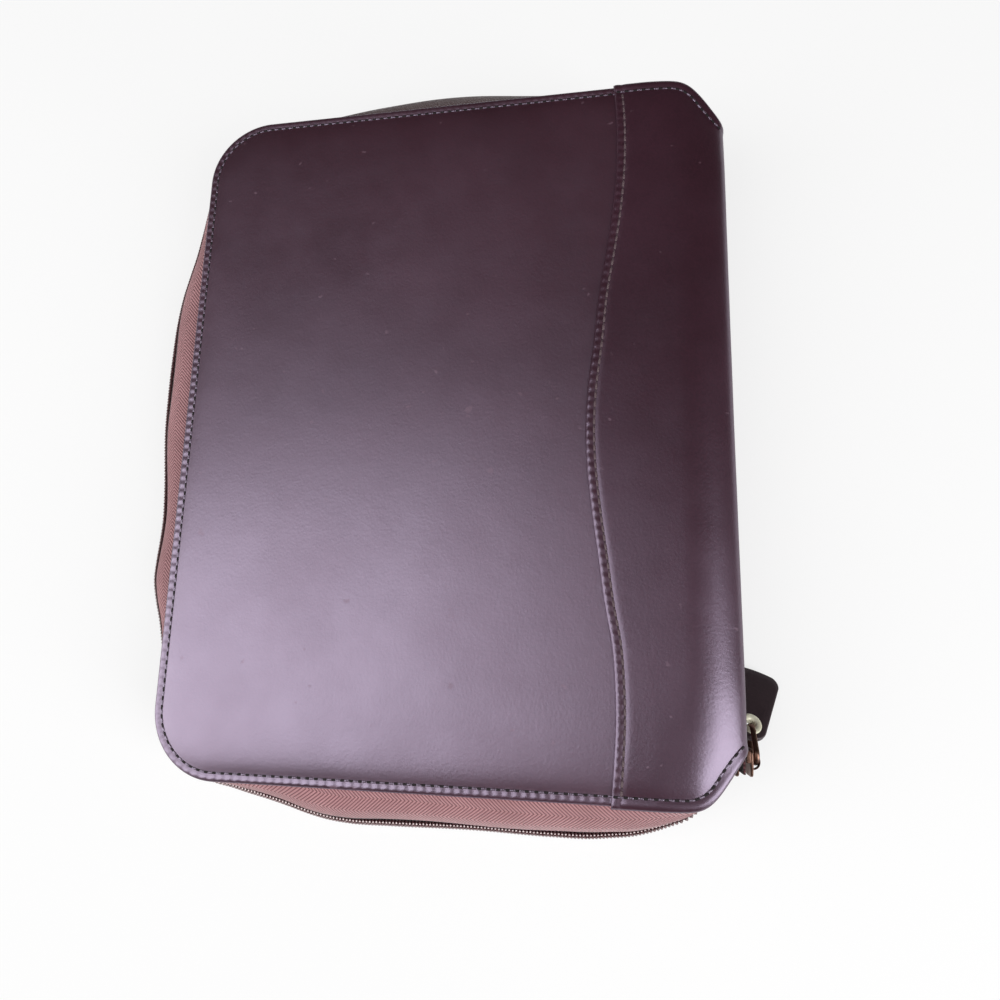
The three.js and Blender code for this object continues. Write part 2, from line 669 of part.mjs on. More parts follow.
// A tube closed on itself, such as a wire link; points lie in a plane whose normal is given
function closedTube(points, radius, sides, normal) {
  const n = points.length;
  const position = [];
  const index = [];
  points.forEach((p, i) => {
    const t = points[(i + 1) % n].clone().sub(points[(i + n - 1) % n]).normalize();
    const out = normal.clone().cross(t).normalize();
    for (let k = 0; k < sides; k++) {
      const b = 2 * Math.PI * (k + 0.5) / sides;
      const v = p.clone().addScaledVector(normal, radius * Math.cos(b));
      v.addScaledVector(out, radius * Math.sin(b));
      position.push(v.x, v.y, v.z);
      const [a, c] = [i * sides + k, i * sides + (k + 1) % sides];
      const [a2, c2] = [((i + 1) % n) * sides + k, ((i + 1) % n) * sides + (k + 1) % sides];
      index.push(a, c, c2, a, c2, a2);
    }
  });
  const g = new THREE.BufferGeometry();
  g.setAttribute('position', new THREE.Float32BufferAttribute(position, 3));
  g.setIndex(index);
  return outward(g);
}

// Link: an oval of wire that lies against the slider's face, through the bridge and the eyelet
const linkX = bridgeX + bridgeH - bridgeT - link.wireR - link.play;
const linkStart = new THREE.Vector3(linkX, sliderY + linkSeat, slider.z);
const slope = THREE.MathUtils.degToRad(link.slope);
const linkAlong = new THREE.Vector3(0, Math.cos(slope), -Math.sin(slope));
const linkAcross = new THREE.Vector3(0, Math.sin(slope), Math.cos(slope));
function linkPoints() {
  const points = [];
  const steps = 8;
  for (const [end, turn] of [[link.length - link.half, -1], [link.half, 1]]) {
    for (let k = 0; k <= steps; k++) {
      const a = turn * (Math.PI * k / steps - Math.PI / 2) * -1;
      const along = end + (end > link.half ? 1 : -1) * link.half * Math.cos(a);
      const across = link.half * Math.sin(a);
      const p = linkStart.clone().addScaledVector(linkAlong, along);
      points.push(p.addScaledVector(linkAcross, across));
    }
  }
  return points;
}
add(root, 'pull_link', closedTube(linkPoints(), link.wireR, 8, new THREE.Vector3(1, 0, 0)), copper);

// Leather tab, hanging from the link and sloping down to the table
const tabGroup = new THREE.Group();
const heading = THREE.MathUtils.degToRad(tab.heading);
const drop = THREE.MathUtils.degToRad(tab.drop);
const tabAlong = new THREE.Vector3(
  Math.cos(drop) * Math.cos(heading), Math.cos(drop) * Math.sin(heading), -Math.sin(drop));
const tabAcross = new THREE.Vector3(Math.sin(heading), -Math.cos(heading), 0);
const tabNormal = tabAcross.clone().cross(tabAlong);
tabGroup.position.copy(linkStart).addScaledVector(linkAlong, link.length);
tabGroup.setRotationFromMatrix(new THREE.Matrix4().makeBasis(tabAcross, tabAlong, tabNormal));
root.add(tabGroup);
const tabShape = rounded([
  [-tab.near, -tab.near, tab.nearCorner, 5], [tab.near, -tab.near, tab.nearCorner, 5],
  [tab.far, tab.length, tab.corner, 4], [-tab.far, tab.length, tab.corner, 4],
]);
const bore = (r, t) => rod(r, t, 20, 'z');
const barrelR = eyelet.hole + eyelet.wall;
add(tabGroup, 'pull_tab', cut(plate(tabShape, -tab.t / 2, tab.t / 2), bore(barrelR + gap, 2 * tab.t)),
  darkLeather);
const flangeZ = tab.t / 2 + gap + eyelet.rise / 2;
const flanges = [-flangeZ, flangeZ].map((z) => bore(eyelet.r, eyelet.rise).translate(0, 0, z));
const barrel = join(bore(barrelR, tab.t + 2 * gap), ...flanges);
add(tabGroup, 'pull_eyelet', cut(barrel, bore(eyelet.hole, 3 * tab.t)), paleMetal);

export default root;
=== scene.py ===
# %% [markdown]
# # A zippered ring planner in plum leather
# The planner lies closed on its back cover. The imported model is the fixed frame: its boards, rings and
# pages stay where they are, and everything soft is made again here with its seams, stitches and weave.
# Lengths below are in millimetres and are turned into metres when a mesh is made.

# %% Load the frame
import math
from functools import partialmethod
import bpy
import numpy as np
from mathutils import Matrix


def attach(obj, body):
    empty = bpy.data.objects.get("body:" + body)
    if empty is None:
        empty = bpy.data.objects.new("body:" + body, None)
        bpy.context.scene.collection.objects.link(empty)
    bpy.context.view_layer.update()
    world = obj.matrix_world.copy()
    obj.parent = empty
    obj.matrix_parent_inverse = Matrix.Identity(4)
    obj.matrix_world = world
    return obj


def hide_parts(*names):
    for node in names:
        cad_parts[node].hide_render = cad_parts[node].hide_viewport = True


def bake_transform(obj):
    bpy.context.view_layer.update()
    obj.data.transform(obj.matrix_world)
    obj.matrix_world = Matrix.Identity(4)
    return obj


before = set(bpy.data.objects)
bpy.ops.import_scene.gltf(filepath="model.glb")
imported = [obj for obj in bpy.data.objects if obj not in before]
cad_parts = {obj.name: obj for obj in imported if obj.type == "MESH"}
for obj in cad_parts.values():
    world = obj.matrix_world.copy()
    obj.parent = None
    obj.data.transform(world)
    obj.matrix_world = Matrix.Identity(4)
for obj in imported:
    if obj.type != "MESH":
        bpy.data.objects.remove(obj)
bpy.context.view_layer.update()
MM = 0.001

# %% [markdown]
# ## The camera
# The photograph was taken close above the cover with a wide phone lens, a little below the middle and
# tipped towards the lower edge. The place and the three axes were worked out from the cover's four
# corners, whose real places are known. A matrix of those axes sets the camera without any aiming.

# %% Camera
camera_data = bpy.data.cameras.new("camera")
camera_data.sensor_width, camera_data.lens = 36.0, 25.98
camera_data.clip_start, camera_data.clip_end = 0.01, 20.0
camera = bpy.data.objects.new("camera", camera_data)
bpy.context.scene.collection.objects.link(camera)
camera_right, camera_up = (0.9961, 0.0227, -0.0853), (-0.0061, 0.9819, 0.1896)
camera_back = (0.0881, -0.1883, 0.9782)
camera_axes = Matrix((camera_right, camera_up, camera_back)).transposed().to_4x4()
camera.matrix_world = Matrix.Translation((0.0436, -0.0748, 0.2730)) @ camera_axes
bpy.context.scene.camera = camera
print("camera at", list(camera.location))

# %% [markdown]
# ## Sizes shared by the pieces
# A leather skin has to sit on the board that the frame holds, so the sizes of the covers and the folds
# are written once here, as they are in the model. The back's leather lies lower and is hardly padded,
# because the whole weight rests on it.

# %% Sizes of the case
SIDES = ("front", "back")
HALF_HEIGHT, FORE_EDGE, FOLD_X, SPINE_HALF = 124.0, -97.0, 97.0, 106.0
CUT_START, CUT_END, CORNER_R, CHAMFER_R = 87.3, 99.8, 24.0, 14.0
COVER_END, RIM_END, FOLD_R, SPINE_X, SPINE_MIDDLE = 94.05, 91.0, 2.65, 99.65, 21.0
WEDGE = math.atan((43.5 - 27.0) / 194.0)
FOLD_Z = {"front": 43.5 - FOLD_R / math.cos(WEDGE), "back": FOLD_R}
CHAMFER_SLOPE = (HALF_HEIGHT - SPINE_HALF) / (CUT_END - CUT_START)
STITCH_PITCH, STITCH_INSET, SEAM_INSET = 3.0, 3.1, 2.9
DROP, SWELL = {"front": 0.0, "back": 1.15}, {"front": 1.0, "back": 0.25}
print("wedge angle", round(math.degrees(WEDGE), 3), "upper fold at", round(FOLD_Z["front"], 2))

# %% [markdown]
# ## Meshes from grids of points
# Every new surface here is a grid: a formula gives the point for each pair of numbers, numpy works out
# all of them at once, and the quads between neighbours become the mesh. A closed piece has either a
# second grid for its underside or rings that close at both ends. Checking the sign of the volume makes
# sure that the faces look outwards.

# %% Grid helpers
def grid_faces(nu, nv, loop_u=False, loop_v=False):
    """Quads of a grid of nu by nv points. Each joins a point to the next one along both ways."""
    i, j = np.meshgrid(np.arange(nu - (not loop_u)), np.arange(nv - (not loop_v)), indexing="ij")
    i, j = i.ravel(), j.ravel()
    ci, cj = np.stack([i, i + 1, i + 1, i], 1), np.stack([j, j, j + 1, j + 1], 1)
    return (ci % nu) * nv + cj % nv


def volume(points, faces):
    """Six times the signed volume: the sum of triple products over each face's fan of triangles."""
    a, b, c = points[faces[:, :1]], points[faces[:, 1:-1]], points[faces[:, 2:]]
    return float((a * np.cross(b, c)).sum())


def make_piece(name, points, face_sets, uv=None, sharp=50.0):
    """A mesh object from points in mm and arrays of faces; uv holds one pair per point."""
    points = np.asarray(points, float).reshape(-1, 3)
    signed = sum(volume(points, f) for f in face_sets)
    faces = [row for f in face_sets for row in (f[:, ::-1] if signed < 0 else f).tolist()]
    mesh = bpy.data.meshes.new(name)
    mesh.from_pydata((points * MM).tolist(), [], faces)
    mesh.shade_smooth()
    mesh.set_sharp_from_angle(angle=math.radians(sharp))
    if uv is not None:
        layer = mesh.uv_layers.new(name="surface")
        corner = np.zeros(len(mesh.loops), np.int32)
        mesh.loops.foreach_get("vertex_index", corner)
        flat = np.asarray(uv, float).reshape(-1, 2)[corner] * MM
        layer.data.foreach_set("uv", flat.astype(np.float32).ravel())
    mesh.validate()
    obj = bpy.data.objects.new(name, mesh)
    bpy.context.scene.collection.objects.link(obj)
    print(name, len(mesh.vertices), "points,", len(mesh.polygons), "faces")
    return obj


def slab(name, top, under, uv=None):
    """A closed sheet: the top grid, the under grid, and four strips of quads along the borders."""
    nu, nv = top.shape[:2]
    n = nu * nv
    index = np.arange(n).reshape(nu, nv)
    sides = []
    for line, turned in ((index[0], 0), (index[-1], 1), (index[:, 0], 1), (index[:, -1], 0)):
        strip = np.stack([line[:-1], line[1:], line[1:] + n, line[:-1] + n], 1)
        sides.append(strip[:, ::-1] if turned else strip)
    faces = [grid_faces(nu, nv), grid_faces(nu, nv)[:, ::-1] + n, *sides]
    both = None if uv is None else np.concatenate([uv.reshape(-1, 2)] * 2)
    return make_piece(name, np.concatenate([top.reshape(-1, 3), under.reshape(-1, 3)]), faces, both)


def rings(name, points, uv=None, sharp=50.0):
    """A closed body from loops of points, one per column, with a fan to a middle point at each end."""
    n, m = points.shape[:2]
    start, end = points[:, 0].mean(0), points[:, -1].mean(0)
    i = np.arange(n)
    first = np.stack([i * m, (i + 1) % n * m, np.full(n, n * m)], 1)[:, ::-1]
    last = np.stack([i * m + m - 1, (i + 1) % n * m + m - 1, np.full(n, n * m + 1)], 1)
    all_points = np.concatenate([points.reshape(-1, 3), [start, end]])
    if uv is not None:
        uv = np.concatenate([uv.reshape(-1, 2), [uv[:, 0].mean(0), uv[:, -1].mean(0)]])
    return make_piece(name, all_points, [grid_faces(n, m, loop_u=True), first, last], uv, sharp)


print("a grid of 3 by 3 points has", len(grid_faces(3, 3)), "faces")


# %% Small helpers
def unit(v):
    return v / np.linalg.norm(v, axis=-1, keepdims=True)


def smooth_step(x, a, b):
    t = np.clip((x - a) / (b - a), 0, 1)
    return t * t * (3 - 2 * t)


def circle(n):
    """n points round a unit circle."""
    a = 2 * np.pi * np.arange(n) / n
    return np.stack([np.cos(a), np.sin(a)], -1)


def xyz(x, y, z):
    """Points from three numbers or arrays, stretched to one shape."""
    return np.stack(np.broadcast_arrays(x, y, z), -1)


def run_of(path):
    """How far along a path each of its points lies."""
    return np.concatenate([[0], np.cumsum(np.linalg.norm(np.diff(path, axis=0), axis=1))])


def read_off(at, run, path):
    """Points at the given distances along a path."""
    return np.stack([np.interp(at, run, column) for column in path.T], -1)


print("half-way up a smooth step:", smooth_step(0.5, 0, 1))

# %% [markdown]
# ## Where a point on a cover lies
# A cover is drawn flat, with x and y across it and h as the height above its outside face. The back
# cover only has to be turned over. The front cover is turned about the upper fold by the wedge angle,
# because the case is thicker at the spine than at the zip.

# %% From a flat cover to its place
def on_cover(side, x, y, h):
    """Front: x and h are turned by the wedge angle about the upper fold. Back: h points down."""
    if side == "back":
        return xyz(x, y, -h)
    lx, lz = x - FOLD_X, h + FOLD_R
    c, s = math.cos(WEDGE), math.sin(WEDGE)
    return xyz(FOLD_X + lx * c - lz * s, y, FOLD_Z["front"] + lx * s + lz * c)


def rounded_path(corners, gaps):
    """Corners (x, y, radius, arc points) joined by arcs and by straight runs of the given points."""
    corners = np.asarray(corners, float)
    p = corners[:, :2]
    to_prev, to_next = unit(np.roll(p, 1, 0) - p), unit(np.roll(p, -1, 0) - p)
    half = np.arccos(np.clip((to_prev * to_next).sum(1), -1, 1)) / 2
    centre = p + unit(to_prev + to_next) * (corners[:, 2] / np.sin(half))[:, None]
    start = p + to_prev * (corners[:, 2] / np.tan(half))[:, None] - centre
    arcs = []
    for c, s, h, k in zip(centre, start, half, corners[:, 3].astype(int)):
        a = np.linspace(0, math.pi - 2 * h, k)
        turned = [s[0] * np.cos(a) - s[1] * np.sin(a), s[0] * np.sin(a) + s[1] * np.cos(a)]
        arcs.append(c + np.stack(turned, -1))
    parts = []
    for arc, following, gap in zip(arcs, arcs[1:] + arcs[:1], gaps):
        t = np.linspace(0, 1, gap + 2)[1:-1, None]
        parts += [arc, arc[-1] * (1 - t) + following[0] * t]
    return np.concatenate(parts)


def rounded_box(x0, x1, y0, y1, radius, arc, gaps):
    corners = ((x0, y0), (x1, y0), (x1, y1), (x0, y1))
    return rounded_path([(*c, radius, arc) for c in corners], gaps)


def cover_outline(inset, right=COVER_END):
    """The cover's plan, moved in: two round corners at the fore-edge, two cut corners at the spine."""
    bx = CUT_START - inset * (math.hypot(1, CHAMFER_SLOPE) - 1) / CHAMFER_SLOPE
    cy = HALF_HEIGHT - inset - (right - bx) * CHAMFER_SLOPE
    r, rc = max(CORNER_R - inset, 1.0), CHAMFER_R - min(inset, CHAMFER_R - 1)
    x, y = FORE_EDGE + inset, HALF_HEIGHT - inset
    corners = [(x, -y, r, 40), (bx, -y, rc, 10), (right, -cy, 0.01, 2), (right, cy, 0.01, 2),
               (bx, y, rc, 10), (x, y, r, 40)]
    return rounded_path(corners, [130, 14, 120, 14, 130, 170])


def after_spine(path):
    """The number of the first outline point past the spine's edge."""
    return np.flatnonzero(path[:, 0] > COVER_END - 0.05)[-1] + 1


def outline_from_fold(inset):
    """The outline from the upper fold round the three zipped sides to the lower fold."""
    path = cover_outline(inset)
    path = np.roll(path, -after_spine(path), 0)
    return path[path[:, 0] < RIM_END]


print("outline points:", len(cover_outline(0)))

# %% [markdown]
# ## The curve of a fold
# Padded leather does not turn a sharp corner. On the front it starts to fall away 16 mm before the spine,
# which is what catches the light along the fold. The section is one Bezier curve from the cover's plane
# to the spine's plane, and the leather below it follows the same curve.

# %% The way round a fold
FOLD_REACH = {"front": (16.5, 6.5), "back": (8.0, 6.0)}
HANDLE = 0.36


def fold_table(side):
    """Section of the fold as a cubic Bezier between the two planes: s, x, z and the normal."""
    w, flip = (WEDGE, 1.0) if side == "front" else (0.0, -1.0)
    along = np.array([math.cos(w), math.sin(w)])
    normal = flip * np.array([-math.sin(w), math.cos(w)])
    reach = (SPINE_X - FOLD_X - FOLD_R * normal[0]) / along[0]
    corner = np.array([FOLD_X, FOLD_Z[side]]) + FOLD_R * normal + along * reach
    down = np.array([0.0, -flip])
    a, b = FOLD_REACH[side]
    p = [corner - along * a, corner - along * a * HANDLE, corner + down * b * HANDLE, corner + down * b]
    t = np.linspace(0, 1, 80)[:, None]
    line = (1 - t) ** 3 * p[0] + 3 * t * (1 - t) ** 2 * p[1] + 3 * t**2 * (1 - t) * p[2] + t**3 * p[3]
    d = unit(np.gradient(line, axis=0))
    d[0], d[-1] = along, down
    out = flip * np.stack([-d[:, 1], d[:, 0]], -1)
    return FOLD_X + reach - a + run_of(line), line, out, along, down


FOLDS = {side: fold_table(side) for side in SIDES}


def fold_drop(side, x):
    """How far the fold's curve lies below the cover's plane at x."""
    knots, line, out, along = FOLDS[side][:4]
    flat = line - line[0]
    return np.interp(x, knots[0] + flat @ along, -(flat @ out[0]))


def corner_droop(side, x, y):
    """The front's two corners at the spine hang a little, where the leather has no foam below it."""
    return (1.6 if side == "front" else 0.0) * smooth_step(x, 70, 96) * smooth_step(np.abs(y), 84, 122)


print("the fold drops", fold_drop("front", np.array([88.0, 92.0, 96.0])).round(2), "mm")

# %% [markdown]
# ## The cover panels
# A padded leather cover is not flat. From the cut edge the leather rises in a small bead, dips along the
# stitch line, and swells over the foam behind it. That profile is a short list of insets and heights,
# carried round the outline ring by ring, and beyond the last inset the rings shrink to the middle. Close
# to the fold the panel dives under the wrap.

# %% Profiles of the edges
DEEP = (1.2, 1.7, 2.2, 2.7, 3.1, 3.5, 4.0, 4.8, 6, 7.5, 9.5, 12, 15, 18.5, 22)
DEEPEST = DEEP[-1]


def profile(turned_edge, heights):
    """Inset and height: the turned edge point by point, then one height for each deeper inset."""
    return np.array([*turned_edge, *zip(DEEP, heights)])


RIM = profile([(7, -3.5), (2.5, -3.5), (0.7, -3.45), (0.2, -3.2), (0, -2.7), (0, -1.5), (0.08, -1.0),
               (0.3, -0.55), (0.7, -0.24)],
              (-0.1, -0.08, -0.14, -0.22, -0.26, -0.2, -0.06, 0.12, 0.36, 0.58, 0.78, 0.95, 1.08, 1.18, 1.25))
WRAP_TOP = profile([(0.1, -3.3), (-0.4, -3.3), (-0.72, -3.0), (-0.8, -2.4), (-0.8, -1.3), (-0.72, -0.6),
                    (-0.45, 0.0), (0.0, 0.4), (0.6, 0.66)],
                   (0.76, 0.76, 0.7, 0.6, 0.56, 0.62, 0.76, 0.94, 1.18, 1.4, 1.62, 1.8, 1.94, 2.04, 2.1))
WRAP_UNDER = profile([(0.1, -3.25), (0.0, -3.2), (-0.1, -3.0), (-0.1, -2.4), (-0.1, -1.3), (-0.08, -0.9),
                      (0.05, -0.5), (0.3, -0.3), (0.7, -0.1)],
                     (0.02, 0.02, -0.1, -0.35, -0.45, -0.36, -0.1, 0.2, 0.44, 0.66, 0.86, 1.02, 1.16, 1.26,
                      1.33))


def sag(side, x, y, inset):
    """Slow hollows of used leather: a few long waves of a quarter millimetre, fading at the edge."""
    waves = (0.16 * np.sin(x / 31 + 0.7) * np.cos(y / 43 - 0.4) + 0.09 * np.sin(x / 17 - y / 23)
             + 0.07 * np.sin(y / 13 + 1.0) * np.cos(x / 27))
    return waves * np.clip((inset - 4) / 14, 0, 1) * SWELL[side]


# %% Panels
def panel(side):
    """Rings of the profile, then rings that shrink to the middle, above and below."""
    shrink = 1 - np.array([0.1, 0.22, 0.36, 0.5, 0.64, 0.78, 0.9, 0.97])
    under = [(cover_outline(RIM[0, 0]) * k, -1.0, 30.0) for k in (0.03, 0.5, 1.0)]
    rim = [(cover_outline(i), h, i) for i, h in RIM]
    inner = [(cover_outline(DEEPEST) * k, 1.25 + 0.35 * (1 - k**2), DEEPEST + 60 * (1 - k)) for k in shrink]
    loops, insets = [], []
    for xy, h, inset in under + rim + inner:
        x, y = xy.T
        h = h * SWELL[side] + sag(side, x, y, inset) if h > 0 else h
        h = h - fold_drop(side, x) - 0.5 * smooth_step(x, 76, 84) - 0.9 * smooth_step(x, 85, 93)
        loops.append(on_cover(side, x, y, h - corner_droop(side, x, y) - DROP[side]))
        insets.append(np.full(len(x), float(inset)))
    points = np.stack(loops, 1)
    line = cover_outline(STITCH_INSET)
    run = run_of(line)
    run = (run - run[after_spine(line)]) % (run[-1] + np.linalg.norm(line[0] - line[-1]))
    uv = np.stack([np.broadcast_to(run[:, None], points.shape[:2]), np.stack(insets, 1)], -1)
    return rings(f"{side}_panel", points, uv, sharp=60)


panels = {side: panel(side) for side in SIDES}

# %% [markdown]
# ## The wrap round the spine
# A second piece of leather starts on the front in an S-shaped turned edge, covers the rest of the front, bends
# round the spine and ends on the back. It is drawn as one strip: s runs along the leather from the cover's
# plane, round the fold, and down the spine. It is made in two halves that meet half-way down the spine, one
# for each of the two folds about which the case opens.

# %% Points on the wrap
def fold_in(side, s, y):
    """How far the fold is drawn in half-way up: 1.7 mm round the front's bend, 0.4 mm on the board."""
    first, last = FOLDS[side][0][[0, -1]]
    if side == "front":
        amount = 1.7 * smooth_step(s, first + 6, first + 15) - 1.3 * smooth_step(s, last - 12, last - 0.5)
    else:
        amount = 0.4 * smooth_step(s, first + 4, last)
    return amount * (1 - (y / HALF_HEIGHT) ** 2)


def on_wrap(side, s, y, h):
    """A point at s along the leather: on the cover's plane, round the fold, then down the spine."""
    s, y, h = np.broadcast_arrays(np.asarray(s, float), y, h)
    knots, line, out, along, down = FOLDS[side]
    p = read_off(s, knots, line) + unit(read_off(s, knots, out)) * h[..., None]
    p = p + along * np.minimum(s - knots[0], 0)[..., None] + down * np.maximum(s - knots[-1], 0)[..., None]
    return xyz(p[..., 0] - fold_in(side, s, y), y, p[..., 1] + down[1] * corner_droop(side, s, y))


def on_spine(s):
    """0 on the cover, 1 on the spine: padding and hollows fade away round the fold."""
    return smooth_step(s, FOLD_X - 16, FOLD_X + 5)


def wrap_end(side):
    """How far s runs before the leather is half-way down the spine."""
    knots, line = FOLDS[side][:2]
    return knots[-1] + abs(line[-1, 1] - SPINE_MIDDLE)


print("wrap ends at s =", [round(float(wrap_end(side)), 2) for side in SIDES])

# %% Shape of the wrap's edges
SEAM_FRONT = np.array([(-124, 58.3), (-112, 59.2), (-98, 59.9), (-87, 59.7), (-76, 58.9), (-64, 56.8),
                       (-47.6, 54.6), (-31, 52.4), (-16, 51.0), (-3, 50.8), (6, 51.3), (23, 53.3),
                       (43.5, 55.5), (56.5, 57.7), (74, 60.2), (87, 61.4), (110, 61.7), (124, 60.8)])
CUT_SOFTNESS = 2.2


def smooth_curve(points, at):
    """A cubic through the points with slopes from their neighbours (Catmull and Rom's rule)."""
    k, v = points[:, 0], points[:, 1]
    slope = np.gradient(v, k)
    i = np.clip(np.searchsorted(k, at) - 1, 0, len(k) - 2)
    w = k[i + 1] - k[i]
    t = (at - k[i]) / w
    return ((2 * t**3 - 3 * t**2 + 1) * v[i] + (t**3 - 2 * t**2 + t) * w * slope[i]
            + (3 * t**2 - 2 * t**3) * v[i + 1] + (t**3 - t**2) * w * slope[i + 1])


def seam_x(side, y):
    """Where the wrap's turned edge lies: an S on the front, nearly straight on the back."""
    if side == "front":
        return smooth_curve(SEAM_FRONT, np.clip(y, -HALF_HEIGHT, HALF_HEIGHT))
    return 62 + 1.5 * np.cos(y / 60)


def wrap_edge(s):
    """Half height of the leather at s, and its slope: full, then cut off, then the spine's length."""
    y, slope = HALF_HEIGHT, 0.0
    for corner, sign in ((CUT_START, -1), (CUT_END, 1)):
        past = (s - corner) / CUT_SOFTNESS
        y = y + sign * CHAMFER_SLOPE * CUT_SOFTNESS * np.logaddexp(0, past)
        slope = slope + sign * CHAMFER_SLOPE / (1 + np.exp(-past))
    return y, slope


# %% [markdown]
# The wrap's top follows the padded panel below it, 0.9 mm higher. Near the turned edge it climbs in a
# small round lip, dips where the seam's stitches pull it down, and at its ends it turns over the edge of
# the cover and hides its raw edge underneath. Down the spine it lies flat on the board.

# %% Wrap meshes
def wrap_rows(side, profile, u):
    """s, y and h of a grid: rows follow the profile in from both ends, columns go from seam to spine."""
    inset, height = profile.T
    tall = np.linspace(-1, 1, 122)[1:-1]
    half = []
    for sign in (-1, 1):
        x0 = seam_x(side, sign * (HALF_HEIGHT - inset))
        s = x0[None] + u[:, None] * (wrap_end(side) - x0)[None]
        edge, slope = wrap_edge(s)
        n = np.sqrt(1 + slope**2)
        near = np.minimum(inset, 4.0)
        tilt = near * (1 - smooth_step(inset, 4, DEEPEST)) * slope / n
        half.append((s + tilt, sign * (edge - near / n - inset + near)))
    low, high = half[0][1][:, -1:], half[1][1][:, -1:]
    y_mid = low + (tall[None] + 1) / 2 * (high - low)
    x0 = seam_x(side, y_mid)
    s_mid = x0 + u[:, None] * (wrap_end(side) - x0)
    s = np.concatenate([half[0][0], s_mid, half[1][0][:, ::-1]], 1)
    y = np.concatenate([half[0][1], y_mid, half[1][1][:, ::-1]], 1)
    lift = np.where(height > 0, height * SWELL[side], height)
    top = lift[-1] + 0.3 * SWELL[side] * (1 - np.abs(tall))
    h = np.broadcast_to(np.concatenate([lift, top, lift[::-1]]), s.shape)
    return s, y, h


def wrap(side):
    """Top and under grids. The lip rises over 0.9 mm, the seam dips at its stitches."""
    seam_steps = [0, 0.0012, 0.004, 0.009, 0.016, 0.024, 0.032, 0.040, 0.048, 0.056, 0.066, 0.08]
    u = np.concatenate([seam_steps, np.linspace(0.1, 1, 74)])
    grids, maps = [], []
    for profile, spine_h in ((WRAP_TOP, 0.35), (WRAP_UNDER, -0.45)):
        s, y, h = wrap_rows(side, profile, u)
        from_seam, from_end = s - seam_x(side, y), wrap_edge(s)[0] - np.abs(y)
        if profile is WRAP_TOP:
            lip = 0.9 * (1 - np.sqrt(np.clip(1 - (1 - np.clip(from_seam / 0.9, 0, 1)) ** 2, 0, 1)))
            groove = 0.2 * np.exp(-((from_seam - SEAM_INSET) / 0.75) ** 2)
            h = h - (lip + groove) * (h > -0.4)
        fade = on_spine(s)
        h = h + fade * (spine_h - h) * np.clip(from_end / 3.0, 0, 1)
        h = h + sag(side, s, y, from_end) * (1 - fade) * (h > 0) - DROP[side] * (1 - fade)
        grids.append(on_wrap(side, s, y, h))
        maps.append(np.stack([from_seam, y + 130], -1))
    return slab(f"spine_wrap_{side}", *grids, maps[0])


wraps = {side: wrap(side) for side in SIDES}

# %% [markdown]
# ## Stitches
# The seams are sewn with thick thread, three millimetres to a stitch. Each stitch is a small bead with round
# ends that sinks into the leather. Between two stitches the needle left a hole, drawn as a dark bead of
# painted shade. One template bead is copied to every place along the seam by a single array sum.

# %% Stitch helpers
def beads(name, centre, along, up, length, width, height):
    """Copies of one rounded bead: rings whose radius follows the fourth root of 1 - t to the 4th."""
    t = np.array([-1, -0.93, -0.7, 0, 0.7, 0.93, 1])
    c, s = circle(8).T
    r = np.sqrt(np.sqrt(np.clip(1 - t**4, 0, 1)))
    r[[0, -1]] = 0.12
    side = unit(np.cross(up, along))
    parts = (t[:, None, None, None] * along * length / 2,
             (r[:, None] * c)[..., None, None] * side * width / 2,
             (r[:, None] * s)[..., None, None] * up * height / 2)
    points = (centre + parts[0] + parts[1] + parts[2]).transpose(2, 0, 1, 3)
    n, m, k = points.shape[:3]
    caps = np.array([np.arange(k), np.arange(k)[::-1] + (m - 1) * k])
    shift = (np.arange(n) * m * k)[:, None, None]
    faces = [(grid_faces(m, k, loop_v=True) + shift).reshape(-1, 4), (caps + shift).reshape(-1, k)]
    return make_piece(name, points, faces, sharp=80)


def walk(path, pitch, start=0.0):
    """Points every pitch along a line, with the line's direction there."""
    run = run_of(path)
    at = np.arange(start, run[-1], pitch)
    return read_off(at, run, path), unit(read_off(at + 0.2, run, path) - read_off(at - 0.2, run, path))


def sew(name, side, place, path, thread=(1.7, 0.8, 0.4), hole=(1.45, 0.9, 0.3)):
    """Threads, and dark beads of painted shade at the needle holes, along a flat path; place turns flat points
    and a height into real ones.
    """
    made = []
    # The holes are dark beads that paint the shade inside each needle hole.
    for kind, start, size, h in (("thread", 0.0, thread, 0.04), ("holes", STITCH_PITCH / 2, hole, 0.03)):
        here, along = walk(path, STITCH_PITCH, start)
        centre, over = place(side, *here.T, h), place(side, *here.T, h + 1)
        ahead, behind = place(side, *(here + along * 0.3).T, h), place(side, *(here - along * 0.3).T, h)
        made.append(beads(f"{name}_{kind}", centre, unit(ahead - behind), unit(over - centre), *size))
    return made


# %% Where the seams lie
def on_rim(side, x, y, h):
    """In the groove of the panel, or of the wrap where that covers it."""
    wrapped = np.clip((x - seam_x(side, y)) / 0.8, 0, 1)
    groove = -0.26 + wrapped * (0.82 if side == "front" else 0.4)
    h = groove - fold_drop(side, x) - corner_droop(side, x, y) + h
    return on_cover(side, x, y, h - DROP[side])


def on_seam(side, x, y, h):
    """In the dip beside the wrap's turned edge."""
    inset = HALF_HEIGHT - np.abs(y)
    base = np.interp(inset, WRAP_TOP[8:, 0], WRAP_TOP[8:, 1]) + 0.3 * np.clip((inset - DEEPEST) / 100, 0, 1)
    h = base * SWELL[side] - 0.2 + sag(side, x, y, inset) + h
    return on_cover(side, x, y, h - DROP[side] - corner_droop(side, x, y))


def on_fold(side, s, y, h):
    """On the wrap's cut corner, round the fold."""
    return on_wrap(side, s, y, (0.5 if side == "front" else 0.12) + h - DROP[side] * (1 - on_spine(s)))


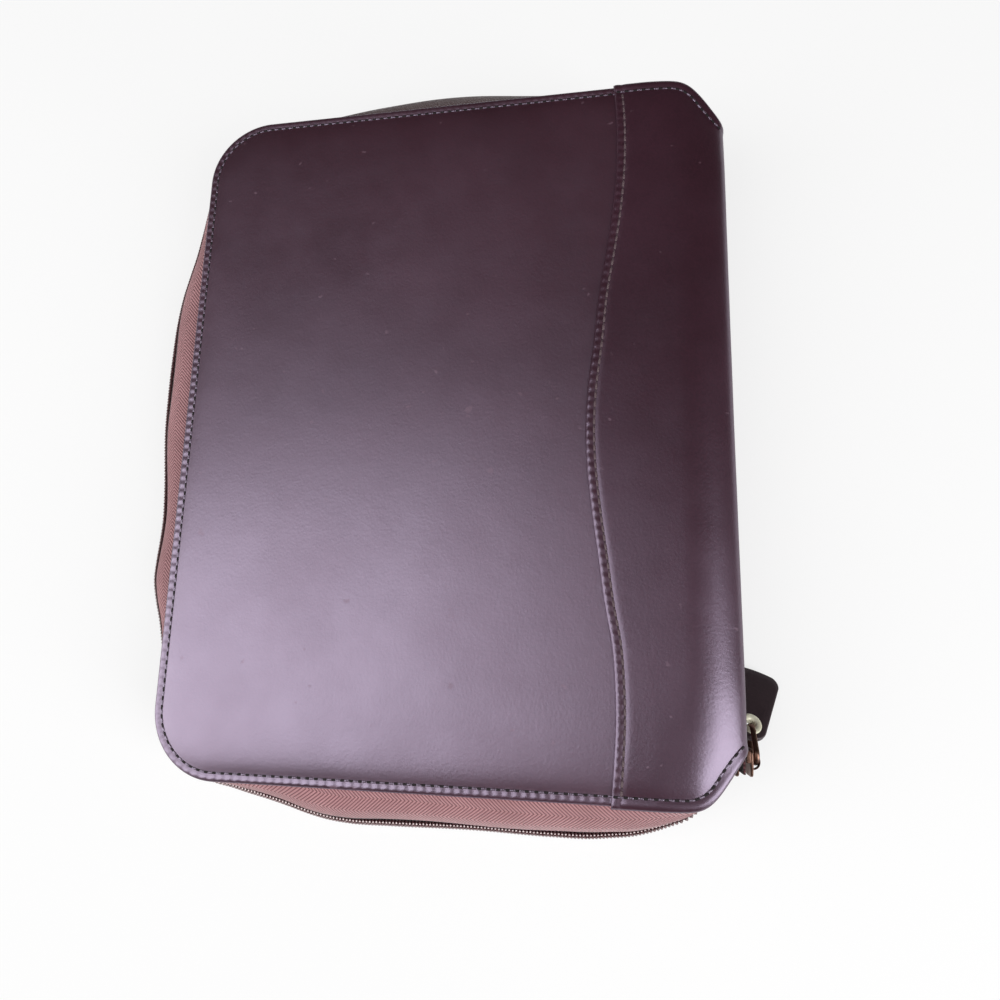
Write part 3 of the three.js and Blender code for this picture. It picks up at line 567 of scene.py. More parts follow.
stitches, fold_stitches = {}, {}
seam_y = np.linspace(-120, 120, 400)
for side in SIDES:
    seam_line = np.stack([seam_x(side, seam_y) + SEAM_INSET, seam_y], -1)
    stitches[side] = (sew(f"{side}_rim", side, on_rim, outline_from_fold(STITCH_INSET))
                      + sew(f"{side}_seam", side, on_seam, seam_line, (2.1, 0.8, 0.62), (1.0, 0.6, 0.3)))
for side in SIDES:
    at = np.linspace(CUT_START, CUT_END + 0.5, 60)
    edge, slope = wrap_edge(at)
    n = np.sqrt(1 + slope**2)
    fold_stitches[side] = []
    for end, sign in (("upper", 1), ("lower", -1)):
        turn = np.stack([at + STITCH_INSET * slope / n, sign * (edge - STITCH_INSET / n)], -1)
        fold_stitches[side] += sew(f"{side}_fold_{end}", side, on_fold, turn[turn[:, 0] > RIM_END])
print("stitch pieces:", [p.name for group in stitches.values() for p in group])

# %% [markdown]
# ## The zip tape
# Between the covers runs a woven tape that bulges out because the case is full. Its section leaves the
# seam between the cover's layers, bends outwards in a soft curve and ends at the coil. The section is
# the same formula all round, and only how far it bulges changes from place to place.

# %% Zip path
TAPE_Z, TAPE_T, GAP, COIL_W, COIL_H, TUCK = 4.1, 0.6, 0.3, 2.4, 2.6, -1.5
zip_line = outline_from_fold(0)[::-1]
zip_run = run_of(zip_line)
print("zip path from", zip_line[0].round(1), "to", zip_line[-1].round(1), "length", zip_run[-1].round(1))

BULGE_LOW = np.array([(-98, 0), (-85, 1.6), (-72.5, 2.8), (-65, 4.6), (-57.4, 6.3), (-50, 8.2),
                      (-42.6, 10.3), (-35.4, 11.8), (-28, 12.6), (-14, 12.7), (13, 12.5), (40, 13.2),
                      (53, 13.1), (59, 12.5), (65.6, 11.7), (72, 10.1), (78, 8), (84.6, 5.4), (91, 2)])
BULGE_HIGH = np.array([(-98, 0), (-75, 2.6), (-60, 5.6), (-45, 9.0), (-29, 12.2), (-12, 14.1), (4.5, 13.8),
                       (20, 12.4), (37, 10.5), (55, 8), (70, 5), (84, 2.0), (91, 0)])
BULGE_SIDE = np.array([(-124, 0), (-105, 1.3), (-90, 3.0), (-78, 5.2), (-71, 6.8), (-63.6, 9.0), (-56, 10.6),
                       (-48.6, 10.5), (-41, 10.0), (-33, 9.8), (-26, 10.2), (-18, 10.9), (-10, 11.8),
                       (0, 12.8), (15, 13.3), (31, 13.3), (48, 12.6), (57, 11.5), (65.8, 9.7), (74.6, 7.8),
                       (83.5, 6.4), (92.5, 5.2), (101.6, 4.0), (110, 2.5), (124, 0)])


def zip_stations(step):
    """Places along the zip: distance, x, y, outward direction, and the bulge of the side they are on."""
    at = np.linspace(0, zip_run[-1], int(zip_run[-1] / step) + 1)
    x, y = read_off(at, zip_run, zip_line).T
    dx, dy = unit(read_off(at + 0.6, zip_run, zip_line) - read_off(at - 0.6, zip_run, zip_line)).T
    n = np.stack([-dy, dx])
    n = n * np.sign(n[0] * x + n[1] * y)
    low, high = smooth_curve(BULGE_LOW, x) * (n[1] < 0), smooth_curve(BULGE_HIGH, x) * (n[1] > 0)
    fore_edge = smooth_curve(BULGE_SIDE, y) * n[0] ** 2 * (n[0] < 0)
    return at, x, y, n, (low + high) * n[1] ** 2 + fore_edge + TUCK


def beside_zip(x, y, n, out, z, lean=0.0):
    """A point moved outwards from the zip's path, and by lean along it, at height z."""
    return xyz(x + n[0] * out - n[1] * lean, y + n[1] * out + n[0] * lean, z)


def upper_seam_z(x):
    """Height of the upper tape's seam: the front cover's plane, less the layers above the tape."""
    return FOLD_Z["front"] - (FOLD_X - x) * math.tan(WEDGE) - (TAPE_Z - FOLD_R) / math.cos(WEDGE)


def chain_z(x):
    return (TAPE_Z + upper_seam_z(x)) / 2


# %% Tapes
def tape(word):
    """Middle line of the section: anchor, quadratic curve, then straight to the chain; moved both ways."""
    upper = word == "upper"
    at, x, y, n, bulge = zip_stations(1.6)
    side = -1 if upper else 1
    shift = -(FOLD_X - FORE_EDGE) * (1 - math.cos(WEDGE)) * n[0] ** 2 * upper
    ripple = 0.35 * np.sin(at / 9.0) * np.clip((bulge - 4) / 4, 0, 1)
    end = bulge - GAP - TAPE_T / 2 + ripple
    end_z = chain_z(x) - side * GAP / 2
    coil_edge = end_z - side * (COIL_H + 2 * GAP)

    def seam_z(out):
        return upper_seam_z(x + n[0] * out) if upper else np.full_like(x, TAPE_Z)

    def curve(a, b, c):
        t = np.linspace(0, 1, 12)[:, None]
        return (1 - t) ** 2 * a + 2 * t * (1 - t) * b + t**2 * c

    start, anchor = GAP + shift, shift - 5.5
    start_z = seam_z(start)
    bend_z = start_z + (coil_edge - start_z) * 0.35
    o = np.stack([anchor, *curve(start, np.maximum(end, start), end), end, end], 1)
    z = np.stack([seam_z(anchor), *curve(start_z, bend_z, coil_edge), (coil_edge + end_z) / 2, end_z], 1)
    d_o, d_z = np.gradient(o, axis=1), np.gradient(z, axis=1)
    half = TAPE_T / 2 / np.hypot(d_o, d_z)
    faces = [beside_zip(x[:, None], y[:, None], n[..., None], o - k * d_z * half, z + k * d_o * half)
             for k in (1, -1)]
    steps = np.hypot(np.diff(o, axis=1), np.diff(z, axis=1))
    across = np.concatenate([np.zeros((len(x), 1)), np.cumsum(steps, 1)], 1)
    uv = np.stack([np.broadcast_to(at[:, None], o.shape), across[:, -1:] - across], -1)
    return slab(f"{word}_woven_tape", *faces, uv)


tapes = {word: tape(word) for word in ("lower", "upper")}

# %% [markdown]
# ## The coil
# A coil zip's teeth are one stiff nylon wire wound into flat turns, a little over a millimetre apart. Two
# such rows mesh half a turn out of step. Each row is a helix squeezed into the box that the row takes
# up, with a wire of five sides so that its five hundred turns stay light. A cord runs through the turns.

# %% Coil rows
COIL_PITCH, COIL_WIRE, CORE_WIRE, STEPS_PER_TURN = 1.15, 0.46, 0.62, 11


def tube(name, path, across, radius, sides=8, closed=False, flat=1.0):
    """A wire along path: each point gets an oval spanned by across and by the path's own normal."""
    across = np.broadcast_to(np.asarray(across, float), path.shape)
    before, after = np.roll(path, 1, 0), np.roll(path, -1, 0)
    if not closed:
        before[0], after[-1] = path[0], path[-1]
    out = unit(np.cross(unit(after - before), across))
    c, s = circle(sides).T[..., None]
    loops = path[:, None] + radius * (c * across[:, None] * flat + s * out[:, None])
    if closed:
        return make_piece(name, loops, [grid_faces(len(path), sides, True, True)])
    return rings(name, loops.transpose(1, 0, 2))


def coil_row(word, side):
    """Wire centre: a turn of 2 pi per pitch on an oval, carried along the zip's path."""
    at, x, y, n, bulge = zip_stations(COIL_PITCH / STEPS_PER_TURN)
    a = 2 * np.pi * at / COIL_PITCH + (np.pi if word == "upper" else 0)
    out = bulge + COIL_W / 2 + (COIL_W / 2 - COIL_WIRE) * np.cos(a)
    middle = chain_z(x) + side * (GAP / 2 + COIL_H / 2 - 0.1)
    z = middle + side * (COIL_H / 2 - COIL_WIRE + 0.1) * np.sin(a)
    path = beside_zip(x, y, n, out, z, 0.3 * np.cos(a))
    tangent = unit(np.gradient(path, axis=0))
    across = unit(np.cross(tangent, unit(np.cross(xyz(-n[1], n[0], 0.0), tangent))))
    return tube(f"{word}_coil", path, across, COIL_WIRE, sides=5)


def coil_core(word, side):
    """The cord inside the turns, a soft line that the wire is sewn down with."""
    x, y, n, bulge = zip_stations(2.0)[1:]
    path = beside_zip(x, y, n, bulge + COIL_W * 0.42, chain_z(x) + side * (GAP / 2 + COIL_H / 2))
    return tube(f"{word}_coil_core", path, (0, 0, 1), CORE_WIRE)


coils = {word: (coil_row(word, side), coil_core(word, side)) for word, side in (("lower", -1), ("upper", 1))}

# %% [markdown]
# ## Slider, link and tab
# The slider hangs on the tail of the zip at the spine's lower end. It is two small curved plates with a
# neck between them. The link is a wire oval, and the tab is a doubled piece of dark leather with a pale
# eyelet. A rounded plate is a stack of rings again: its outline, moved in and out at each height.

# %% Rounded plates
SLIDER_X, SLIDER_Z, SLIDER_L, SLIDER_W, OPENING = 101.5, 22.0, 8.8, 9.0, 3.4
WING_T, WALL_T, WALL_Z = 0.9, 1.3, 4.05
SLIDER_TOP = -SPINE_HALF - 1.6
SLIDER_Y = SLIDER_TOP - SLIDER_L / 2
WING_X = OPENING / 2 + WING_T / 2


def cushion(name, outline, thickness, edge, place, puff=0.0):
    """Rings of an outline: pulled in by edge at both faces, full between; puff swells the middle."""
    middle, half = outline.mean(0), thickness / 2
    inward, size = unit(middle - outline), np.linalg.norm(middle - outline, axis=1)
    turn = np.linspace(0, math.pi / 2, 5)
    upper = [(edge * (1 - math.cos(k)), half - edge * (1 - math.sin(k))) for k in turn]
    upper +=[(edge + 1.2, half + 0.6 * puff), (edge + 3.0, half + puff)]
    rows = [(i, -h) for i, h in upper[::-1]] + upper
    loops = [place(outline + inward * np.minimum(i, size * 0.8)[:, None], h) for i, h in rows]
    return rings(name, np.stack(loops, 1))


def slider_plate(name, outline, thickness, edge, x, bow=0.0):
    """The plate stands on its edge: outline across Y and Z, thickness along X, with a slight bow."""
    def place(p, h):
        return xyz(x + h + bow * (1 - (p[:, 1] / (SLIDER_W / 2)) ** 2), p[:, 0], SLIDER_Z + p[:, 1])
    return cushion(name, outline, thickness, edge, place)


low, shoulder, half = SLIDER_TOP - SLIDER_L, SLIDER_TOP - SLIDER_L * 0.6, SLIDER_W / 2
wing = rounded_path([(low, -half * 0.72, 1.6, 8), (shoulder, -half, 3, 6), (SLIDER_TOP, -half, 1.4, 8),
                     (SLIDER_TOP, half, 1.4, 8), (shoulder, half, 3, 6), (low, half * 0.72, 1.6, 8)],
                    [6, 8, 12, 8, 6, 10])
neck = rounded_box(SLIDER_TOP - 3.0, SLIDER_TOP - 0.4, -1.1, 1.1, 0.5, 6, [4, 4, 4, 4])
slider_parts = [slider_plate("slider_outer_wing", wing, WING_T, 0.3, SLIDER_X + WING_X, 0.15),
                slider_plate("slider_inner_wing", wing, WING_T, 0.3, SLIDER_X - WING_X, -0.1),
                slider_plate("slider_neck", neck, OPENING + 0.4, 0.1, SLIDER_X)]
for word, z in (("upper", WALL_Z), ("lower", -WALL_Z)):
    wall = rounded_box(SLIDER_TOP - 4.4, SLIDER_TOP - 0.4, z - 0.4, z + 0.4, 0.3, 5, [6, 3, 6, 3])
    slider_parts.append(slider_plate(f"slider_{word}_wall", wall, WALL_T, 0.15, SLIDER_X + OPENING / 2 - 0.55))

# %% Strap and link
STRAP_X = SLIDER_X + OPENING / 2 + WING_T + GAP
LINK_SLOPE, LINK_R, LINK_STRAIGHT = math.radians(30), 3.2, 6.3
turn = np.linspace(0, math.pi, 25)
arch = xyz(STRAP_X - 0.25 + 2.85 * np.sin(turn) ** 0.7, SLIDER_Y - 2.35 * np.cos(turn), SLIDER_Z)
strap = tube("slider_strap", arch, (0, 0, 1), 0.3, sides=10, flat=2.7)
link_along = np.array([0, math.cos(LINK_SLOPE), -math.sin(LINK_SLOPE)])
link_across = np.array([0, math.sin(LINK_SLOPE), math.cos(LINK_SLOPE)])
link_start = np.array([STRAP_X + 1.5, SLIDER_Y - 0.5, SLIDER_Z])
c, s = circle(64).T[..., None]
run = LINK_R + (LINK_STRAIGHT + LINK_STRAIGHT * np.sign(c)) / 2 + LINK_R * c
link_path = link_start + run * link_along + LINK_R * s * link_across
link = tube("pull_wire_link", link_path, (1, 0, 0), 0.5, sides=12, closed=True, flat=1.8)

# %% Tab and eyelet
HEADING, TAB_DROP, TAB_H, EYELET_H = math.radians(70.3), math.radians(35), 1.1, 1.4
tab_along = np.array([math.cos(TAB_DROP) * math.cos(HEADING), math.cos(TAB_DROP) * math.sin(HEADING),
                      -math.sin(TAB_DROP)])
tab_across = np.array([math.sin(HEADING), -math.cos(HEADING), 0])
tab_normal = np.cross(tab_across, tab_along)
tab_root = link_start + (LINK_STRAIGHT + 2 * LINK_R) * link_along


def holed_plate(name, outer, inner, rows):
    """A plate with a hole: each row mixes the outlines, moves the result outwards, and has a height."""
    loops = []
    for mix, out, h in rows:
        p = outer * (1 - mix) + inner * mix + unit(outer) * out
        loops.append(tab_root + p[:, :1] * tab_across + p[:, 1:] * tab_along + h * tab_normal)
    points = np.stack(loops, 1)
    return make_piece(name, points, [grid_faces(*points.shape[:2], True, True)], sharp=60)


tab_outline = rounded_path([(-5, -5, 4.7, 14), (5, -5, 4.7, 14), (8.5, 21, 3, 12), (-8.5, 21, 3, 12)],
                           [4, 30, 18, 30])
far = np.clip(tab_outline[:, 1] - 18, 0, 3) / 3
tab_outline[:, 1] += 0.9 * far * (1 - (tab_outline[:, 0] / 8.6) ** 2)
H = TAB_H
tab_rows = [(0, 0, 0.5 - H), (0, 0, H - 0.5), (0, -0.15, H - 0.15), (0, -0.5, H), (0.1, -0.6, H + 0.05),
            (0.3, -0.6, H + 0.12), (0.6, -0.4, H + 0.12), (0.9, 0, H), (1, 0, H - 0.2), (1, 0, 0.2 - H),
            (0.9, 0, -H), (0.6, -0.4, -H - 0.1), (0.3, -0.6, -H - 0.1), (0.1, -0.6, -H), (0, -0.5, -H),
            (0, -0.15, 0.15 - H)]
tab = holed_plate("pull_leather_tab", tab_outline, 2.45 * unit(tab_outline), tab_rows)
H = EYELET_H
eyelet_rows = [(0, 0, H - 0.1), (0.04, 0, H + 0.22), (0.2, 0, H + 0.4), (0.5, 0, H + 0.4),
               (0.8, 0, H + 0.24), (1, 0, H - 0.15), (1, 0, 0), (1, 0, 0.15 - H), (0.8, 0, -H - 0.2),
               (0.5, 0, -H - 0.35), (0.2, 0, -H - 0.35), (0.04, 0, -H - 0.2), (0, 0, 0.1 - H),
               (0.55, 0, 0.05 - H), (0.55, 0, H - 0.05)]
eyelet = holed_plate("pull_metal_eyelet", 3.6 * circle(48), 1.5 * circle(48), eyelet_rows)

# %% [markdown]
# ## The zip's tail
# Past the corner the two tapes run out of the spine's lower end and into the slider. Each is a narrow
# strip that follows a smoothed line in plan and stands upright.

# %% Tail tapes
TAIL_LINE = np.array([(97.55, -101.5), (97.55, -105.0), (97.62, -106.1), (98.2, -106.75), (99.4, -107.05),
                      (100.2, -107.6), (100.4, -108.8), (100.4, -111.5), (100.4, -114.9)])
TAIL_Z = np.linspace(1.35, 8.0, 14)


def tail(word, side):
    """The plan line is resampled evenly; the strip reaches from the neck to the edge of the slider."""
    k = np.arange(len(TAIL_LINE))
    at = np.linspace(0, len(k) - 1, 60)
    line = np.stack([smooth_curve(np.stack([k, column], 1), at) for column in TAIL_LINE.T], -1)
    dx, dy = unit(np.gradient(line, axis=0)).T
    out = np.stack([dy, -dx], -1) * TAPE_T / 2
    faces = [xyz(*(line + sign * out).T[..., None], SLIDER_Z + side * TAIL_Z) for sign in (1, -1)]
    run = np.cumsum(np.linalg.norm(np.gradient(line, axis=0), axis=1))
    uv = np.stack(np.broadcast_arrays(run[:, None], TAIL_Z - TAIL_Z[0]), -1)
    return slab(f"tail_tape_{word}", *faces, uv)


tails = {word: tail(word, side) for word, side in (("upper", 1), ("lower", -1))}

# %% [markdown]
# ## Inside the covers
# The foam pad, the linings, the pockets and the pen loop are soft too. The pad is a crowned sheet a
# little smaller than the cover. Linings are cloth stretched over the boards, and the pockets are thin
# leather with a folded top edge, sewn on three sides.

# %% Linings, pad and pockets
def cover_sheet(name, side, outline, depth, thickness, puff=0.0, edge=0.25):
    """A thin rounded plate at a depth inside the cover."""
    return cushion(name, outline, thickness, edge, lambda p, h: on_cover(side, *p.T, h - depth), puff)


def polygon_area(p):
    x, y = p.T
    return abs((x * np.roll(y, -1) - y * np.roll(x, -1)).sum()) / 2 * MM * MM


front_padding = cover_sheet("front_padding", "front", cover_outline(7.6, 90.5), 1.95, 1.0, 0.2, 0.45)
linings = {side: cover_sheet(f"{side}_cloth_lining", side, cover_outline(1.5), 5.0, 0.6) for side in SIDES}
POCKETS = {"front_pocket_1": (196, 5.6), "front_pocket_2": (132, 6.5), "front_pocket_3": (96, 7.4),
           "back_pocket": (216, 5.6)}


def pocket(node, height, depth):
    """A leather pocket 116 mm wide with round corners, and its stitch line on three sides."""
    name, side = node.replace("pocket", "sewn_pocket"), node.split("_")[0]
    low, high = -108.0, height - 108.0
    shape = rounded_box(-72, 44, low, high, 4, 8, [60, 90, 60, 90])
    body = cover_sheet(name, side, shape, depth + 0.3, 0.6, 0.06, 0.3)
    line = np.array([(-70.2, high - 4), (-70.2, low + 1.8), (42.2, low + 1.8), (42.2, high - 4)])
    here, along = walk(line, STITCH_PITCH, 1.0)
    top = -depth - 0.62
    centre, ahead = on_cover(side, *here.T, top), on_cover(side, *(here + along).T, top)
    inward = unit(on_cover(side, *here.T, top - 1) - centre)
    return body, beads(f"{name}_thread", centre, unit(ahead - centre), inward, 2.2, 0.5, 0.3)


pockets = {node: pocket(node, *size) for node, size in POCKETS.items()}

# %% Pen loop and spine lining
LOOP_X, LOOP_Y, LOOP_DEPTH, LOOP_IN, LOOP_OUT = -80, 20, 9.8, (5.0, 3.5), (5.7, 4.2)
c, s = circle(56).T
rib = np.tile([0.05, -0.05], 28)
ends = np.array([-0.3, -0.1] + [0] * 11 + [-0.1, -0.3])
loop_y = LOOP_Y + np.concatenate([[-19, -18.9, -18.5], np.linspace(-17, 17, 9), [18.5, 18.9, 19]])
rows = [(LOOP_OUT[0] + g, LOOP_OUT[1] + g, y) for g, y in zip(ends, loop_y)]
rows += [(*LOOP_IN, y) for y in loop_y[::-1]]
points = np.stack([on_cover("front", LOOP_X + (rx + rib) * c, y, -LOOP_DEPTH - (rz + rib) * s)
                   for rx, rz, y in rows], 1)
pen_loop = make_piece("elastic_pen_loop", points, [grid_faces(*points.shape[:2], True, True)])
spine_plan = rounded_box(-105.7, 105.7, 5.6, 37.9, 1, 4, [80, 16, 80, 16])
spine_cloth = cushion("spine_cloth_lining", spine_plan, 0.6, 0.2, lambda p, h: xyz(95.55 + h, *p.T))

# %% [markdown]
# ## Cloth hinges inside the folds
# Where a lined board meets the spine the lining carries on as one cloth. Closed, it is a narrow tuck round the
# fold, and that is the shape made here. When the real case opens, the cloth spreads into a smooth arc.

# %% Inner hinges
def inner_hinge(side):
    """Points on a short arc about the fold's axis, from the cover's lining to the spine's lining."""
    start, near = (on_cover(side, x, 0.0, -5.0)[[0, 2]] for x in (92.4, COVER_END))
    end = np.array([95.4, 37.5 if side == "front" else 6.0])
    t, knee = np.linspace(0, 1, 20)[:, None], 0.25
    p = np.where(t < knee, start + (near - start) * t / knee, near + (end - near) * (t - knee) / (1 - knee))
    out = unit(np.array([FOLD_X, FOLD_Z[side]]) - p)
    y = np.linspace(-105.5, 105.5, 90)
    faces = [xyz((p + out * k)[:, :1], y, (p + out * k)[:, 1:]) for k in (0.1, 0.5)]
    uv = np.stack(np.broadcast_arrays(y + 110, 10 * t), -1)
    return slab(f"{side}_cloth_hinge", *faces, uv), near, end


hinges = {side: inner_hinge(side) for side in SIDES}

# %% [markdown]
# ## Materials
# A finish is a Principled shader whose colour, roughness and bump come from noise and simple waves. The
# patterns read Object coordinates, or the piece's own map where they follow the cloth. Numbers that are
# the same everywhere are set on the shader itself. A node's output is wrapped as a signal, so that sums
# and products of patterns can be written as such; each sign adds one Math node.

# %% Node helpers
def node(tree, kind, inputs=(), out=0, **settings):
    """Adds a node. Settings are its properties, inputs are numbers or signals, out picks the output."""
    made = tree.nodes.new(kind)
    for key, value in settings.items():
        setattr(made, key, value)
    for key, value in dict(inputs).items():
        if isinstance(value, Signal):
            tree.links.new(value.socket, made.inputs[key])
        else:
            made.inputs[key].default_value = value
    return Signal(tree, made.outputs[out])


class Signal:
    """One output of a node, with the nodes that can follow it."""

    def __init__(self, tree, socket):
        self.tree, self.socket = tree, socket

    def maths(self, operation, *others):
        return node(self.tree, "ShaderNodeMath", dict(enumerate((self, *others))), operation=operation)

    __add__, __sub__ = partialmethod(maths, "ADD"), partialmethod(maths, "SUBTRACT")
    __mul__, __abs__ = partialmethod(maths, "MULTIPLY"), partialmethod(maths, "ABSOLUTE")

    def split(self):
        """The three parts of a vector."""
        parts = node(self.tree, "ShaderNodeSeparateXYZ", {0: self}).socket.node.outputs
        return [Signal(self.tree, part) for part in parts]

    def noise(self, scale, detail=4.0, rough=0.55):
        settings = {"Vector": self, "Scale": scale, "Detail": detail, "Roughness": rough}
        return node(self.tree, "ShaderNodeTexNoise", settings)

    def level(self, low, high, out_low=0.0, out_high=1.0):
        ends = {1: low, 2: high, 3: out_low, 4: out_high}
        return node(self.tree, "ShaderNodeMapRange", {"Value": self, **ends})

    def ramp(self, *stops):
        """A colour ramp from (position, (r, g, b)) pairs, in linear light."""
        made = node(self.tree, "ShaderNodeValToRGB", {"Fac": self})
        for element, (at, colour) in zip(made.socket.node.color_ramp.elements, stops):
            element.position, element.color = at, (*colour, 1)
        return made

    def mix(self, factor, other, blend="MIX"):
        """This colour with another one, which is a signal or (r, g, b)."""
        other = other if isinstance(other, Signal) else (*other, 1)
        return node(self.tree, "ShaderNodeMix", {0: factor, 6: self, 7: other}, 2, data_type="RGBA",
                    blend_type=blend)


class Finish:
    """A material with one Principled shader, whose fixed values are given as key words."""

    def __init__(self, name, roughness, metallic=0.0, **sockets):
        self.material = bpy.data.materials.new(name)
        self.material.use_nodes = True
        self.tree = self.material.node_tree
        self.shader = self.tree.nodes["Principled BSDF"]
        for key, value in {"Roughness": roughness, "Metallic": metallic, **sockets}.items():
            self.shader.inputs[key.replace("_", " ")].default_value = value

    def place(self, scale=(1, 1, 1), turn=(0, 0, 0), source="Object"):
        vector = node(self.tree, "ShaderNodeTexCoord", out=source)
        return node(self.tree, "ShaderNodeMapping", {"Vector": vector, "Scale": scale, "Rotation": turn})

    def drive(self, name, signal):
        self.tree.links.new(signal.socket, self.shader.inputs[name])

    def bump(self, *layers):
        """Bump layers in turn, each (height, strength, distance in metres); gives the material back."""
        normal = {}
        for height, strength, distance in layers:
            inputs = {"Height": height, "Strength": strength, "Distance": distance, **normal}
            normal = {"Normal": node(self.tree, "ShaderNodeBump", inputs)}
        self.drive("Normal", normal["Normal"])
        print(self.material.name, "has", len(self.tree.nodes), "nodes")
        return self.material


def dress(material, obj):
    if obj.data.materials:
        obj.material_slots[0].material = material
    else:
        obj.data.materials.append(material)


# %% [markdown]
# ### Satin leather
# The cover leather is finished almost smooth: a fine grain that only breaks up the shine, slow clouds of
# a redder and a bluer plum, a few pale scuffs, and small puckers beside the seams, one to a stitch. The
# roughness varies with the same clouds, so that the window's reflection has a soft and uneven edge.

# %% Leather finishes
VIOLET_SHEEN = (0.87, 0.745, 0.99, 1.0)


def leather(name, dark, light, roughness, seam=None, wear=1.0, tint=VIOLET_SHEEN, ior=1.9):
    """Satin leather. A seam is (axis of the map across it, its place there, width of the wear), in mm."""
    f = Finish(name, roughness, IOR=ior, Specular_IOR_Level=1.0, Specular_Tint=tint)
    where = f.place()
    clouds, blotches, pores = where.noise(16.0), where.noise(75.0, 3.0), where.noise(1300.0, 3.0, 0.65)
    cells = node(f.tree, "ShaderNodeTexVoronoi", {"Vector": where, "Scale": 950.0}, feature="F1")
    specks = where.noise(230.0, 2.0).level(0.72, 0.745)
    scuffs = f.place((34, 90, 34), (0, 0, 0.5)).noise(1.0, 5.0, 0.7).level(0.72, 0.8)
    worn = (specks * (0.4 * wear)).maths("MAXIMUM", scuffs * (0.3 * wear))
    layers = [(blotches, 0.25, 0.0003), (cells, 0.14, 0.0001), (pores, 0.3, 0.00009)]
    if seam:
        axis, at, width = seam
        uv = f.place(source="UV").split()
        near = abs(uv[axis] - at * MM).level(0.0, width * MM, 1.0, 0.0)
        pads = abs(uv[axis] - (at - 1.2) * MM).level(0.5 * MM, 1.6 * MM, 1.0, 0.0)
        beat = (uv[1 - axis] * (2 * math.pi / (STITCH_PITCH * MM))).maths("COSINE")
        layers.insert(0, (pads * beat, 0.32, 0.0002))
        fuzz = where.noise(420.0, 3.0, 0.7).level(0.45, 0.75, 0.0, 0.4)
        worn = worn.maths("MAXIMUM", near * fuzz)
    pale = tuple(min(1.0, 0.05 + 2.1 * c) for c in light)
    fine = pores.ramp((0.35, (0.8,) * 3), (0.65, (1.18,) * 3))
    colour = clouds.ramp((0.3, dark), (0.7, light)).mix(worn, pale)
    f.drive("Base Color", colour.mix(1.0, fine, "MULTIPLY"))
    shine = (clouds + blotches * 0.5).level(0.5, 1.0, roughness - 0.03, roughness + 0.05)
    f.drive("Roughness", shine + worn * 0.25)
    return f.bump(*layers)


plum = leather("plum_leather", (0.026, 0.0024, 0.0052), (0.038, 0.0040, 0.0088), 0.395,
               (1, STITCH_INSET, 1.4))
plum_wrap = leather("plum_leather_wrap", (0.030, 0.0080, 0.0130), (0.044, 0.0112, 0.0195), 0.34,
                    (0, SEAM_INSET, 1.7), ior=1.7)
inner_leather = leather("inner_leather", (0.030, 0.013, 0.020), (0.045, 0.020, 0.030), 0.48, ior=1.6)
dark_leather = leather("dark_tab_leather", (0.016, 0.007, 0.010), (0.027, 0.012, 0.016), 0.5, wear=0.5,
                       tint=(1.0, 0.9, 0.95, 1.0), ior=1.4)


# %% Thread, holes and coil
def twist(name, colour, roughness, pitch, **sockets):
    """Fine slanted ridges for spun thread and nylon."""
    f = Finish(name, roughness, **sockets)
    settings = {"Vector": f.place(), "Scale": pitch, "Distortion": 1.5, "Detail": 2.0}
    wave = node(f.tree, "ShaderNodeTexWave", settings, 1, bands_direction="DIAGONAL")
    f.drive("Base Color", wave.ramp((0.1, tuple(c * 0.55 for c in colour)), (0.8, colour)))
    return f.bump((wave, 0.4, 0.0001))


def glossy(ior, tint):
    return {"IOR": ior, "Specular_IOR_Level": 1.0, "Specular_Tint": tint}


plum_thread = twist("plum_thread", (0.075, 0.040, 0.055), 0.42, 900.0, **glossy(1.9, (0.86, 0.77, 1.0, 1.0)))
worn_thread = twist("worn_thread", (0.145, 0.094, 0.106), 0.6, 900.0)
# The hole finishes are painted shade: dark beads stand for the shade inside each needle hole, lighter at the
# seam.
seam_hole_shade = twist("worn_needle_hole", (0.060, 0.030, 0.042), 0.7, 500.0)
hole_painted_shade = twist("hole_painted_shade", (0.011, 0.005, 0.008), 0.8, 500.0)
nylon = twist("coil_nylon", (0.10, 0.032, 0.036), 0.26, 260.0, **glossy(2.1, (1.0, 0.86, 0.86, 1.0)))
core_cord = twist("coil_core_cord", (0.070, 0.018, 0.022), 0.8, 700.0)

# %% [markdown]
# ### Herringbone tape
# Zip tape is woven in a herringbone: bands of slanted ribs whose slant turns over at every band. On the
# tape's own map, a back-and-forth wave across the width bends one family of stripes into that zigzag.
# Beside the coil the tape is darkened, partly for the sewing thread and partly as painted shade of the turns.
# Along the far side, which the photograph shows only as a dark line, the tape is painted dark all over as
# painted shade.

# %% Woven finishes
def herringbone(name, rib, gap, edge):
    """Ribs of 1.3 mm in bands of 5 mm, with yarns of 0.42 mm across them."""
    f = Finish(name, 0.82, Sheen_Weight=0.25)
    along, across, _ = f.place(source="UV").split()
    zigzag = (across - 0.6 * MM).maths("PINGPONG", 5.0 * MM)
    ribs = ((along + zigzag) * (2 * math.pi / (1.3 * MM))).maths("SINE").level(-1.0, 1.0)
    yarn = ((along - zigzag) * (2 * math.pi / (0.42 * MM))).maths("SINE").level(-1.0, 1.0)
    stains = f.place().noise(60.0, 3.0).level(0.35, 0.7, 0.0, 0.3)
    cloth = ribs.ramp((0.12, gap), (0.5, rib)).mix(stains, gap).mix(yarn * 0.1, edge)
    # Painted shade: a dark band beside the coil, partly its sewing thread, and the far side painted dark all
    # over.
    coil_thread_and_shade = across.level(5.6 * MM, 6.2 * MM, 1.0, 0.0)
    far_side_painted_shade = f.place().split()[1].level(0.119, 0.121)
    shade = coil_thread_and_shade.maths("MAXIMUM", far_side_painted_shade * across.level(6 * MM, 8 * MM, 0.0, 0.85))
    f.drive("Base Color", cloth.mix(shade, edge))
    return f.bump((ribs, 0.8, 0.0003), (yarn, 0.2, 0.00008))


